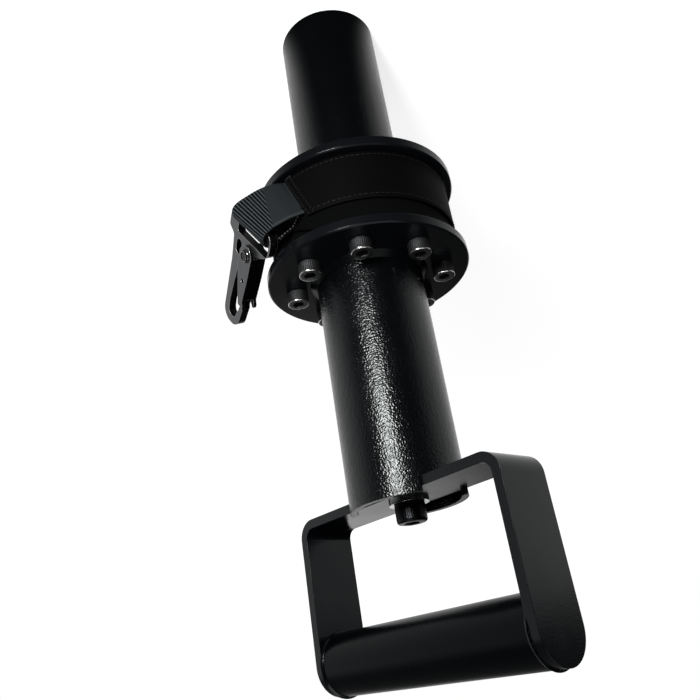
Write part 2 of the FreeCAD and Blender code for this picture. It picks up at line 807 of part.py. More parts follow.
def gate_spring():
    """Folded leaf spring in the gate: one leg on the web, the other against the lug."""
    body = new_body("gate_spring")
    body.Placement = hook_place
    strip = size["spring_strip"]
    beside_web = pivot_x + size["gate_belly"] - size["gate_sheet"] - strip - size["spring_gap"]
    foot_y = pivot_y + size["lug_radius"] + size["spring_foot_gap"]
    fold_y = foot_y + size["spring_length"]
    middle = [
        Vector(beside_web, foot_y, 0),
        Vector(beside_web, foot_y + size["spring_length"] / 2, 0),
        Vector(beside_web - 0.55, fold_y - 0.9, 0),
        Vector(beside_web - 1.2, fold_y, 0),
        Vector(beside_web - 1.8, fold_y - 0.9, 0),
        Vector(pivot_x + 1.1, foot_y, 0),
    ]
    sketch = new_sketch(body, "LeafSpring")
    outline(sketch, ribbon(middle, strip))
    pad(body, sketch, "Sizes.spring_width", both_ways=True)


far_grip_tube()
far_end_plug()
bevel_flange_rim(flange("far_flange", FAR_FLANGE_AT))
weld_ring("far_flange_weld", f"{FAR_FLANGE_AT}", upwards=False)
spool_hub()
near_flange()
weld_ring("near_flange_weld", NEAR_GRIP_AT, upwards=True)
near_grip_tube()
threaded_end_plate()
flange_screws()
handle_bracket()
hand_grip_tube()
hand_grip_welds()
handle_washer()
handle_screw()
strap_winding()
strap_label_band()
hook_webbing_loop()
hook_plate()
hook_gate()
gate_rivet()
gate_spring()

doc.recompute()
for item in doc.Objects:
    if {"Invalid", "Error"} & set(item.State):
        raise RuntimeError(f"{item.Name} is {item.State}")
for item in parts:
    if item.Shape.isNull() or not item.Shape.isValid():
        raise RuntimeError(f"{item.Label} has no valid shape")

os.makedirs("parts", exist_ok=True)
for item in parts:
    item.Shape.exportStep(f"parts/{item.Label}.step")
    solids = len(item.Shape.Solids)
    print(f"{item.Label}: {solids} solid(s), {item.Shape.Volume / 1000:.2f} cm3")
print("hook bar centre", [round(v, 3) for v in hook_place.Base])
for name, direction in (("across", Vector(1, 0, 0)), ("through", Vector(0, 0, 1))):
    print("hook", name, [round(v, 4) for v in hook_turn.multVec(direction)])
pivot = hook_place.multVec(Vector(pivot_x, pivot_y, 0))
print("gate pivot", [round(v, 3) for v in pivot])
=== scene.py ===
# %% [markdown]
# # Twin-grip arm trainer
# Two powder-coated grip tubes share one axis. A flanged spool between them carries a wound
# strap, a snap hook hangs from the strap, and a D-handle is clamped across the near tube.
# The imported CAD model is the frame: it gives every rigid piece its place, in metres. This
# script gives each piece its surface and makes the pieces that a solid model keeps plain:
# the wound strap, the ribbed webbing, the stitches and the knurled screws.

# %% Load the frame
import math

import bpy
import bmesh
from mathutils import Matrix, Quaternion, Vector


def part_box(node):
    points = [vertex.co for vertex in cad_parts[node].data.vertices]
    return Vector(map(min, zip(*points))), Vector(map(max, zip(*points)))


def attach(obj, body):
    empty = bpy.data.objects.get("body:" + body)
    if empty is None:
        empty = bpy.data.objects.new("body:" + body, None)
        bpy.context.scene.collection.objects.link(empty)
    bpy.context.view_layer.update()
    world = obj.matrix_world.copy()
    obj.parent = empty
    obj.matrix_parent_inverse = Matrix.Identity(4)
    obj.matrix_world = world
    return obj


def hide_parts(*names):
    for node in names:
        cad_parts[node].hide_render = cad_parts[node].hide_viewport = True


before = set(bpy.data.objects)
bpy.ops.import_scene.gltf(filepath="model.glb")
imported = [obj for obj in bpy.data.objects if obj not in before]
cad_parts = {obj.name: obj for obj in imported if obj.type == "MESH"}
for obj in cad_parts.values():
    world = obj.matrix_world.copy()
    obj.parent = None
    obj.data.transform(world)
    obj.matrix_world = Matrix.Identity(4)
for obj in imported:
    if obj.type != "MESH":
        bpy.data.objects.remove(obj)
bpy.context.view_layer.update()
MM = 0.001
scene = bpy.context.scene

# %% [markdown]
# ## Camera
# The view was solved from edges in the photograph: a normal lens close to the object, seen
# from the side of the D-handle, with the D-handle at the bottom of the picture. A camera
# looks along its own -Z with +Y up, so the solved "down" and "forward" rows change sign.

# %% Camera
FOCAL_PIXELS = 730.912
IMAGE_PIXELS = 700
SENSOR_MM = 36.0
NEAREST_SEEN = 0.01
CAMERA_PLACE_MM = Vector((212.203, 220.641, 317.805))
CAMERA_TURN = Vector((-1.775, 0.937, 0.422))

camera_data = bpy.data.cameras.new("camera")
camera_data.sensor_width = SENSOR_MM
camera_data.lens = FOCAL_PIXELS / IMAGE_PIXELS * SENSOR_MM
camera_data.clip_start = NEAREST_SEEN
camera = bpy.data.objects.new("camera", camera_data)
scene.collection.objects.link(camera)
scene.camera = camera
rows = Quaternion(CAMERA_TURN.normalized(), CAMERA_TURN.length).to_matrix()
right, down, forward = rows[0], rows[1], rows[2]
camera.matrix_world = (Matrix.Translation(CAMERA_PLACE_MM * MM)
                       @ Matrix((right, -down, -forward)).transposed().to_4x4())
print("lens", round(camera_data.lens, 2), "mm")

# %% [markdown]
# ## Light and floor
# The photograph is a product shot on overexposed white. The floor and the walls look white
# to the camera, and to paint and metal as well, but light the object gently, so that black
# paint stays black. What gloss mirrors is a room: white at its sides and its back, and dark
# where nothing is lit, which is the ceiling, the front and a screen at the right. So a tube
# is deep black in its middle and catches white at its edges. One low strip makes the long
# highlight on the near tube, because a camera that looks down on an upright tube sees
# things near the floor mirrored in it.

# %% Helpers for nodes and colours
def add(tree, kind, inputs=None, **settings):
    """Adds a node: settings are its properties, and inputs fills or links its sockets.

    A node given as an input stands for its first output.
    """
    node = tree.nodes.new(kind)
    for name, value in settings.items():
        setattr(node, name, value)
    for socket, value in (inputs or {}).items():
        if isinstance(value, bpy.types.Node):
            value = value.outputs[0]
        if isinstance(value, bpy.types.NodeSocket):
            tree.links.new(value, node.inputs[socket])
        else:
            node.inputs[socket].default_value = value
    return node


def from_to(value, ends, start=0.0, end=1.0):
    """Inputs of a Map Range node that takes a value between two ends to start and end."""
    return {"Value": value, "From Min": ends[0], "From Max": ends[1],
            "To Min": start, "To Max": end}


def colour(hex_text):
    """Linear RGBA of an sRGB hex colour."""
    channels = [int(hex_text[i:i + 2], 16) / 255 for i in (1, 3, 5)]
    linear = [c / 12.92 if c <= 0.04045 else ((c + 0.055) / 1.055) ** 2.4 for c in channels]
    return (*linear, 1.0)


def ray(azimuth):
    """A level unit vector away from the tubes' axis, at an azimuth in degrees."""
    turn = math.radians(azimuth)
    return Vector((math.cos(turn), math.sin(turn), 0.0))


WHITE = colour("#FFFFFF")
print("the grey #808080 is", round(colour("#808080")[0], 3), "in linear light")

# %% World
WORLD_LIGHT = 0.17
DARK_FRONT = ray(46)
DARK_SCREEN = ray(300)
# Each pair says where the white begins to fade and where it is down to its darkest.
CEILING_FADE = (0.2, 0.52)
FRONT_FADE = (-0.1, 0.75)
SCREEN_FADE = (0.2, 0.46)
CEILING_IN_GLOSS = 0.12
FRONT_IN_GLOSS = 0.03
SCREEN_IN_GLOSS = 0.04


def seen_rays(tree, *kinds):
    """1 for rays of these kinds, else 0."""
    rays = add(tree, "ShaderNodeLightPath")
    mask = rays.outputs[kinds[0]]
    for kind in kinds[1:]:
        mask = add(tree, "ShaderNodeMath", {0: mask, 1: rays.outputs[kind]},
                   operation="MAXIMUM")
    return mask


def room_sides(tree, direction):
    """White at the sides and the back of the room, dark towards its front."""
    unit = add(tree, "ShaderNodeVectorMath", {0: direction}, operation="NORMALIZE")
    frontal = add(tree, "ShaderNodeVectorMath", {0: unit, 1: DARK_FRONT},
                  operation="DOT_PRODUCT").outputs["Value"]
    return add(tree, "ShaderNodeMapRange", from_to(frontal, FRONT_FADE, 1.0, FRONT_IN_GLOSS),
               interpolation_type="SMOOTHSTEP")


world = bpy.data.worlds.new("studio")
world.use_nodes = True
scene.world = world
tree = world.node_tree
tree.nodes.clear()
direction = add(tree, "ShaderNodeTexCoord").outputs["Generated"]
upwards = add(tree, "ShaderNodeSeparateXYZ", {0: direction}).outputs["Z"]
walls = add(tree, "ShaderNodeMapRange", from_to(upwards, CEILING_FADE, 1.0, CEILING_IN_GLOSS),
            interpolation_type="SMOOTHSTEP")
room = add(tree, "ShaderNodeMath", {0: walls, 1: room_sides(tree, direction)},
           operation="MULTIPLY")
beside = add(tree, "ShaderNodeVectorMath", {0: direction, 1: DARK_SCREEN},
             operation="DOT_PRODUCT").outputs["Value"]
screen = add(tree, "ShaderNodeMapRange", from_to(beside, SCREEN_FADE, 1.0, SCREEN_IN_GLOSS),
             interpolation_type="SMOOTHSTEP")
mirrored = add(tree, "ShaderNodeMath", {0: room, 1: screen}, operation="MULTIPLY")
gloss = add(tree, "ShaderNodeMix", {0: seen_rays(tree, "Is Glossy Ray"), 2: WORLD_LIGHT,
                                    3: mirrored}, data_type="FLOAT")
strength = add(tree, "ShaderNodeMix", {
    0: seen_rays(tree, "Is Camera Ray", "Is Transmission Ray"), 2: gloss, 3: 1.0},
    data_type="FLOAT")
sky = add(tree, "ShaderNodeBackground", {"Color": WHITE, "Strength": strength})
add(tree, "ShaderNodeOutputWorld", {"Surface": sky})
print("world:", len(tree.nodes), "nodes")

# %% Floor
FLOOR_HALF = 6.0
FLOOR_GLOW = (0.66, 0.97)
FLOOR_GLOW_SPAN = (0.3, 1.6)


def floor_material():
    """White paper: diffuse, with enough glow where it is seen that only shadows show."""
    material = bpy.data.materials.new("white_paper_floor")
    material.use_nodes = True
    tree = material.node_tree
    tree.nodes.clear()
    place = add(tree, "ShaderNodeTexCoord").outputs["Object"]
    away = add(tree, "ShaderNodeVectorMath", {0: place}, operation="LENGTH").outputs["Value"]
    glow = add(tree, "ShaderNodeMapRange", from_to(away, FLOOR_GLOW_SPAN, *FLOOR_GLOW))
    seen = seen_rays(tree, "Is Camera Ray", "Is Transmission Ray")
    total = add(tree, "ShaderNodeMath", {0: seen, 1: glow}, operation="MULTIPLY")
    paper = add(tree, "ShaderNodeBsdfDiffuse", {"Color": colour("#D2D2D2")})
    light = add(tree, "ShaderNodeEmission", {"Color": WHITE, "Strength": total})
    both = add(tree, "ShaderNodeAddShader", {0: paper, 1: light})
    mirrored = add(tree, "ShaderNodeEmission", {"Color": WHITE,
                                                "Strength": room_sides(tree, place)})
    floor = add(tree, "ShaderNodeMixShader", {0: seen_rays(tree, "Is Glossy Ray"),
                                              1: both, 2: mirrored})
    add(tree, "ShaderNodeOutputMaterial", {"Surface": floor})
    return material


floor_mesh = bpy.data.meshes.new("floor")
floor_mesh.from_pydata([(x * FLOOR_HALF, y * FLOOR_HALF, 0)
                        for x, y in ((-1, -1), (1, -1), (1, 1), (-1, 1))],
                       [], [(0, 1, 2, 3)])
floor_mesh.materials.append(floor_material())
floor = bpy.data.objects.new("floor", floor_mesh)
scene.collection.objects.link(floor)
print("floor:", 2 * FLOOR_HALF, "m wide")


# %% Lamps
def area_lamp(name, place, aim, width, height, watts):
    """A soft box at place that shines at aim. It lights the object but isn't seen itself."""
    data = bpy.data.lights.new(name, "AREA")
    data.shape = "RECTANGLE"
    data.size = width
    data.size_y = height
    data.energy = watts
    lamp = bpy.data.objects.new(name, data)
    scene.collection.objects.link(lamp)
    lamp.location = place
    lamp.rotation_euler = (Vector(aim) - Vector(place)).to_track_quat("-Z", "Y").to_euler()
    lamp.visible_camera = False


area_lamp("top_soft_box", place=(0.3, 0.2, 1.5), aim=(0, 0, 0.15), width=1.3, height=1.3,
          watts=10)
area_lamp("tube_strip", place=ray(62.5) * 0.36 + Vector((0, 0, 0.16)), aim=(0, 0, 0.25),
          width=0.09, height=0.15, watts=2.6)

# %% [markdown]
# ## Painted steel
# The tubes, flanges and handle are steel with a black polyester powder coat. The powder
# melts into a satin skin with a fine orange peel, about 0.7 mm from bump to bump, which
# breaks the highlight on the tubes into grains and lies flatter on the sheet parts. A noise
# bump in object coordinates gives that on any shape. The Bevel node rounds the light on
# edges that the CAD model leaves sharp.

# %% Painted steel
NOISE_ENDS = (0.3, 0.7)  # most of a noise texture's values lie between these
PAINT_EDGE_MM = 0.4
GLOSS_CLOUD_MM = 23.0


def new_material(name):
    """A material with an empty tree."""
    material = bpy.data.materials.new(name)
    material.use_nodes = True
    material.node_tree.nodes.clear()
    return material


def finish(tree, inputs):
    """Ends a tree with a Principled shader that has these inputs."""
    shader = add(tree, "ShaderNodeBsdfPrincipled", inputs)
    add(tree, "ShaderNodeOutputMaterial", {"Surface": shader})


def per_metre(size_mm):
    """Noise scale that puts about one feature on each size_mm."""
    return 1 / (size_mm * MM)


def powder_coat(name, peel_mm, depth_mm, roughness, specular, base="#020304"):
    """Satin paint with an orange peel and a gloss that drifts a little over the piece."""
    material = new_material(name)
    tree = material.node_tree
    place = add(tree, "ShaderNodeTexCoord").outputs["Object"]
    peel = add(tree, "ShaderNodeTexNoise", {"Vector": place, "Scale": per_metre(peel_mm),
                                            "Detail": 0.0})
    cloud = add(tree, "ShaderNodeTexNoise", {"Vector": place, "Detail": 3.0,
                                             "Scale": per_metre(GLOSS_CLOUD_MM)})
    gloss = add(tree, "ShaderNodeMapRange", from_to(cloud, NOISE_ENDS, roughness - 0.03,
                                                    roughness + 0.04))
    edge = add(tree, "ShaderNodeBevel", {"Radius": PAINT_EDGE_MM * MM}, samples=4)
    bump = add(tree, "ShaderNodeBump", {"Height": peel, "Strength": 1.0,
                                        "Distance": depth_mm * MM, "Normal": edge})
    finish(tree, {"Base Color": colour(base), "Roughness": gloss, "Normal": bump,
                  "Specular IOR Level": specular, "Specular Tint": colour("#FAFFFD")})
    return material


tube_paint = powder_coat("satin_black_powder_coat_on_tube", peel_mm=0.72, depth_mm=0.17,
                         roughness=0.22, specular=0.25)
flange_paint = powder_coat("satin_black_powder_coat_on_flange", peel_mm=0.7, depth_mm=0.02,
                           roughness=0.2, specular=0.13, base="#07080A")
handle_paint = powder_coat("satin_black_powder_coat_on_handle", peel_mm=0.7, depth_mm=0.012,
                           roughness=0.2, specular=0.2, base="#030406")
grip_paint = powder_coat("satin_black_powder_coat_on_hand_grip", peel_mm=0.7, depth_mm=0.02,
                         roughness=0.27, specular=0.07)
print("paint:", len(tube_paint.node_tree.nodes), "nodes each")

# %% [markdown]
# ## Bare and blackened metal
# The eight flange screws are plain stainless steel, the middle screw is black oxide and its
# washer bright zinc. The hook is stamped sheet, blackened: its flat faces are grey and its
# sides darker, a painted shade that the way each face looks picks out, and its edges go to
# bare steel, partly wear and partly a painted highlight. The Bevel node finds those
# edges: where its rounded normal leaves the true one, the colour goes to bare steel.

# %% Bare metal
METAL_EDGE_MM = 0.15
METAL_GRAIN_MM = 0.4
METAL_GRAIN_DEPTH_MM = 0.004


def metal(name, base, roughness):
    """Bare or plated metal with a faint unevenness in its gloss."""
    material = new_material(name)
    tree = material.node_tree
    place = add(tree, "ShaderNodeTexCoord").outputs["Object"]
    grain = add(tree, "ShaderNodeTexNoise", {"Vector": place, "Detail": 3.0,
                                             "Scale": per_metre(METAL_GRAIN_MM)})
    gloss = add(tree, "ShaderNodeMapRange", from_to(grain, NOISE_ENDS, roughness * 0.8,
                                                    roughness * 1.25))
    edge = add(tree, "ShaderNodeBevel", {"Radius": METAL_EDGE_MM * MM}, samples=4)
    bump = add(tree, "ShaderNodeBump", {"Height": grain, "Strength": 1.0, "Normal": edge,
                                        "Distance": METAL_GRAIN_DEPTH_MM * MM})
    finish(tree, {"Base Color": colour(base), "Metallic": 1.0, "Roughness": gloss,
                  "Normal": bump})
    return material


# Stainless steel, turned and smooth: a sharp white highlight on its rounded rim.
screw_steel = metal("stainless_steel_screw", "#C9C9C6", 0.2)
# The same steel, rougher, on the knurl, the flat top and the socket; its dark colour is
# painted shade.
rough_shaded_steel = metal("stainless_steel_with_painted_shade", "#494A4B", 0.44)
# Black oxide, a chemical skin: nearly black, with a metal's highlight.
black_screw_steel = metal("black_oxide_screw", "#1C1D1F", 0.32)
# Bright zinc, plated: pale and shiny.
zinc = metal("bright_zinc_washer", "#C9CBCC", 0.2)
# Turned and left bare, out of sight: grey, softened by the marks of the lathe.
hub_metal = metal("turned_aluminium", "#8E8F91", 0.35)
plate_steel = metal("turned_steel", "#6E6E70", 0.4)
# Rolled spring steel: smooth and grey.
spring_steel = metal("spring_steel", "#77787A", 0.3)
print("bare metals share", len(zinc.node_tree.nodes), "nodes")

# %% Blackened metal
HOOK_FACE = Vector((-0.196, 0.931, 0.309))  # the way the hook's flat faces look
# Faces that look along HOOK_FACE get the face colour; every other face gets the darker side
# colour, which is painted shade.
FLAT_FACE_FROM = (0.8, 0.97)
# Edges where the Bevel normal leaves the true one go to bare steel: partly wear, partly a
# painted highlight.
EDGE_WEAR_AND_HIGHLIGHT_FROM = (0.985, 0.8)
MOST_EDGE_WEAR_AND_HIGHLIGHT = 0.75
SCUFF_MM = 1.6
SCUFF_DEPTH_MM = 0.01
SCUFF_ENDS = (0.6, 0.75)
MOST_SCUFFED = 0.12


def black_steel_with_wear_and_painted_light(name, side, face, bare, roughness, edge_mm):
    """Blackened sheet: the sides get a darker colour than the flat faces, which is painted
    shade, and the edges go to bare steel, partly wear and partly a painted highlight.
    """
    material = new_material(name)
    tree = material.node_tree
    place = add(tree, "ShaderNodeTexCoord").outputs
    edge = add(tree, "ShaderNodeBevel", {"Radius": edge_mm * MM}, samples=8)
    flat = add(tree, "ShaderNodeNewGeometry").outputs["Normal"]
    same = add(tree, "ShaderNodeVectorMath", {0: edge, 1: flat},
               operation="DOT_PRODUCT").outputs["Value"]
    # Bare edges: partly wear, partly a painted highlight.
    edge_wear_and_highlight = add(tree, "ShaderNodeMapRange", from_to(same, EDGE_WEAR_AND_HIGHLIGHT_FROM, 0.0, MOST_EDGE_WEAR_AND_HIGHLIGHT))
    scuffs = add(tree, "ShaderNodeTexNoise", {"Vector": place["Object"], "Detail": 5.0,
                                              "Scale": per_metre(SCUFF_MM),
                                              "Roughness": 0.65})
    patch = add(tree, "ShaderNodeMapRange", from_to(scuffs, SCUFF_ENDS, 0.0, MOST_SCUFFED))
    wear_and_highlight = add(tree, "ShaderNodeMath", {0: edge_wear_and_highlight, 1: patch}, operation="ADD", use_clamp=True)
    through = add(tree, "ShaderNodeVectorMath", {0: place["Normal"], 1: HOOK_FACE},
                  operation="DOT_PRODUCT").outputs["Value"]
    either = add(tree, "ShaderNodeMath", {0: through}, operation="ABSOLUTE")
    # Painted shade: faces that don't look along HOOK_FACE get the darker side colour.
    flat_face = add(tree, "ShaderNodeMapRange", from_to(either, FLAT_FACE_FROM))
    black = add(tree, "ShaderNodeMix", {0: flat_face, 6: colour(side), 7: colour(face)},
                data_type="RGBA").outputs[2]
    paint = add(tree, "ShaderNodeMix", {0: wear_and_highlight, 6: black, 7: colour(bare)},
                data_type="RGBA").outputs[2]
    gloss = add(tree, "ShaderNodeMapRange", from_to(scuffs, NOISE_ENDS, roughness - 0.06,
                                                    roughness + 0.1))
    bump = add(tree, "ShaderNodeBump", {"Height": scuffs, "Strength": 1.0, "Normal": edge,
                                        "Distance": SCUFF_DEPTH_MM * MM})
    finish(tree, {"Base Color": paint, "Metallic": 0.9, "Roughness": gloss, "Normal": bump})
    return material


# Stamped from plate, blackened and scuffed by use; the darker colour of its sides is painted
# shade.
hook_steel = black_steel_with_wear_and_painted_light("blackened_stamped_steel", "#131415", "#4E4F51", "#D8D7D3",
                              roughness=0.34, edge_mm=0.4)
# Folded from thin sheet: blacker inside its fold and on its sides, a painted shade.
gate_steel = black_steel_with_wear_and_painted_light("blackened_folded_sheet", "#0A0B0C", "#4A4B4E", "#C8C7C4",
                              roughness=0.32, edge_mm=0.3)
# A pressed rivet head: dark in its dish, a painted shade, and bright round its rim, a painted
# highlight.
rivet_steel = black_steel_with_wear_and_painted_light("rivet_steel_with_painted_light", "#1A1B1C", "#232425", "#E4E3DF",
                               roughness=0.28, edge_mm=0.4)
print("blackened metals share", len(hook_steel.node_tree.nodes), "nodes")

# %% [markdown]
# ## Plastic plug
# The far tube's plug is moulded polyethylene, matte, with the fine grain of its mould. An
# image of grain would need a UV map. A noise bump in object coordinates needs none.

# %% Plastic
MOULD_GRAIN_MM = 0.5
MOULD_DEPTH_MM = 0.03


def moulded_plastic(name, base, roughness):
    """Matte plastic with a fine even grain."""
    material = new_material(name)
    tree = material.node_tree
    place = add(tree, "ShaderNodeTexCoord").outputs["Object"]
    grain = add(tree, "ShaderNodeTexNoise", {"Vector": place, "Detail": 2.0,
                                             "Scale": per_metre(MOULD_GRAIN_MM)})
    bump = add(tree, "ShaderNodeBump", {"Height": grain, "Strength": 1.0,
                                        "Distance": MOULD_DEPTH_MM * MM})
    gloss = add(tree, "ShaderNodeMapRange", from_to(grain, NOISE_ENDS, roughness - 0.05,
                                                    roughness + 0.05))
    finish(tree, {"Base Color": colour(base), "Roughness": gloss, "Normal": bump})
    return material


plug_plastic = moulded_plastic("moulded_black_polyethylene", "#101011", 0.5)
print("plug:", plug_plastic.name)

# %% [markdown]
# ## Webbing
# The strap is woven black polyester. Its pattern has to follow the strap round the spool,
# so it reads an attribute, strap_uv, that every strap mesh carries: metres along, metres
# across and, on the ribbed end, how much painted light the place gets. A real thread is
# 0.5 mm wide; it is drawn 0.9 mm wide here so that it shows. Two crossed waves draw the
# weave, because they stay sharp at any size; where it rises it is drawn lighter, a painted
# shade in its hollows. The outer turn is a smooth sleeve of tight plain weave. The ribbed
# end is painted lighter on its crests, on a plain patch by the seam and along its near
# edge, and darker in its grooves and on its crests round the bar: painted highlight and
# painted shade.

# %% Woven polyester
THREAD_MM = 0.9
FUZZ_MM = 0.35
FUZZ_SHARE = 0.35
# Where the weave rises it gets more of the light colour: painted shade in its hollows.
WEAVE_TOPS = (0.3, 1.2)
RIB_CRESTS = (0.0, 1.0)


def webbing(name, base, light, depth_mm, roughness, specular, ribbed=False, sheen=0.001):
    """Two crossed waves make a plain weave, painted lighter where it rises, which is painted
    shade in its hollows; ribbed webbing is lighter by the painted light it carries.
    """
    material = new_material(name)
    tree = material.node_tree
    place = add(tree, "ShaderNodeAttribute", attribute_name="strap_uv").outputs["Vector"]
    parts = add(tree, "ShaderNodeSeparateXYZ", {0: place}).outputs
    waves = []
    for axis in ("X", "Y"):
        turns = add(tree, "ShaderNodeMath", {0: parts[axis],
                                             1: math.pi / (THREAD_MM * MM)},
                    operation="MULTIPLY")
        waves.append(add(tree, "ShaderNodeMath", {0: turns}, operation="SINE"))
    crossing = add(tree, "ShaderNodeMath", {0: waves[0], 1: waves[1]}, operation="MULTIPLY")
    weave = add(tree, "ShaderNodeMath", {0: crossing}, operation="ABSOLUTE")
    fuzz = add(tree, "ShaderNodeTexNoise", {"Vector": place, "Scale": per_metre(FUZZ_MM),
                                            "Detail": 2.0})
    height = add(tree, "ShaderNodeMath", {0: fuzz, 1: FUZZ_SHARE, 2: weave},
                 operation="MULTIPLY_ADD")
    bump = add(tree, "ShaderNodeBump", {"Height": height, "Strength": 1.0,
                                        "Distance": depth_mm * MM})
    # The share of the light colour: where the weave rises, painted shade in its hollows; on
    # the ribbed end, the painted light stored with the strap.
    tops = add(tree, "ShaderNodeMapRange",
               from_to(parts["Z"], RIB_CRESTS) if ribbed else from_to(height, WEAVE_TOPS))
    shade = add(tree, "ShaderNodeMix", {0: tops, 6: colour(base), 7: colour(light)},
                data_type="RGBA").outputs[2]
    finish(tree, {"Base Color": shade, "Roughness": roughness, "Normal": bump,
                  "Specular IOR Level": specular, "Sheen Weight": sheen,
                  "Sheen Roughness": 0.4})
    return material


strap_cloth = webbing("woven_polyester_strap", "#010101", "#050606", depth_mm=0.16,
                      roughness=0.8, specular=0.03)
sleeve_cloth = webbing("smooth_woven_sleeve", "#020202", "#060607", depth_mm=0.06,
                       roughness=0.6, specular=0.02)
# Its light colour is painted light: on the ribs' crests, on a plain patch by the seam and
# along the near edge.
ribbed_cloth = webbing("ribbed_polyester_webbing", "#010101", "#363B3D", depth_mm=0.04,
                       roughness=0.5, specular=0.04, ribbed=True, sheen=0.002)
print("webbing:", len(strap_cloth.node_tree.nodes), "nodes each")

# %% Thread
TWIST_MM = 0.3
TWIST_DEPTH_MM = 0.05


def thread(name, base):
    """Bonded nylon thread: twisted, waxed, a little glossier than the strap."""
    material = new_material(name)
    tree = material.node_tree
    place = add(tree, "ShaderNodeTexCoord").outputs["Object"]
    twist = add(tree, "ShaderNodeTexNoise", {"Vector": place, "Scale": per_metre(TWIST_MM),
                                             "Detail": 1.0})
    bump = add(tree, "ShaderNodeBump", {"Height": twist, "Strength": 1.0,
                                        "Distance": TWIST_DEPTH_MM * MM})
    finish(tree, {"Base Color": colour(base), "Roughness": 0.5, "Specular IOR Level": 0.15,
                  "Normal": bump})
    return material


black_thread = thread("bonded_nylon_black", "#0B0C0D")
grey_thread = thread("bonded_nylon_grey", "#6B6E70")
print("threads:", black_thread.name, grey_thread.name)

# %% [markdown]
# ## Dress the solids
# A rigid solid from the CAD model keeps its mesh and its place and gets a better material
# in the slots that it came with. The soft solids are replaced further down; they get the
# strap's cloth here so that nothing is left without a finish.

# %% Dress the CAD nodes
FINISHES = {
    tube_paint: ["far_grip_tube", "near_grip_tube"],
    flange_paint: ["far_flange", "near_flange"],
    handle_paint: ["handle_bracket", "hand_grip_welds"],
    grip_paint: ["hand_grip_tube", "far_flange_weld", "near_flange_weld"],
    plug_plastic: ["far_end_plug"],
    hub_metal: ["spool_hub"],
    plate_steel: ["threaded_end_plate"],
    zinc: ["handle_washer"],
    hook_steel: ["hook_plate"],
    gate_steel: ["hook_gate"],
    rivet_steel: ["gate_rivet"],
    spring_steel: ["gate_spring"],
    screw_steel: ["flange_screws"],
    black_screw_steel: ["handle_screw"],
    strap_cloth: ["strap_winding", "strap_label_band", "hook_webbing_loop"],
}
for material, names in FINISHES.items():
    for name in names:
        for material_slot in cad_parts[name].material_slots:
            material_slot.material = material
print("dressed", sum(len(names) for names in FINISHES.values()), "nodes")

# %% [markdown]
# ## Geometry Nodes: the strap on its spool
# A strap wound on a hub follows a rule: each turn adds its own thickness to the radius. A
# flat grid is rolled up by that rule, one direction of it being the length and the other
# the width, and then given its thickness. The seam leans, because the strap leaves the
# spool at an angle. The inner turns sit further up the spool than the outer one, so their
# edge shows beside it.

# %% Helpers for Geometry Nodes
def new_group(name, sockets):
    """A Geometry Nodes group with a mesh output and the named inputs."""
    group = bpy.data.node_groups.new(name, "GeometryNodeTree")
    group.interface.new_socket("Geometry", in_out="OUTPUT", socket_type="NodeSocketGeometry")
    group.interface.new_socket("Geometry", in_out="INPUT", socket_type="NodeSocketGeometry")
    for label, kind in sockets.items():
        group.interface.new_socket(label, in_out="INPUT", socket_type=f"NodeSocket{kind}")
    return group


def grow(piece_name, group, values, source=None):
    """Runs a group on a mesh, sets its inputs by identifier and returns the plain result."""
    mesh = source or bpy.data.meshes.new(piece_name + "_seed")
    seed = bpy.data.objects.new(piece_name + "_seed", mesh)
    scene.collection.objects.link(seed)
    modifier = seed.modifiers.new("grow", "NODES")
    modifier.node_group = group
    for item in group.interface.items_tree:
        if item.item_type == "SOCKET" and item.in_out == "INPUT" and item.name in values:
            modifier[item.identifier] = values[item.name]
    result = bpy.data.meshes.new_from_object(
        seed.evaluated_get(bpy.context.evaluated_depsgraph_get()))
    seed.modifiers.clear()
    bpy.data.objects.remove(seed)
    result.name = piece_name
    piece = bpy.data.objects.new(piece_name, result)
    scene.collection.objects.link(piece)
    print("grew", piece_name, "with", len(result.polygons), "faces")
    return piece


# %% Spool strap tree
STEPS_ALONG = 640
STEPS_ACROSS = 11
SHIFT_TURNS = (0.93, 1.04)
SAME_POINT = 1e-6


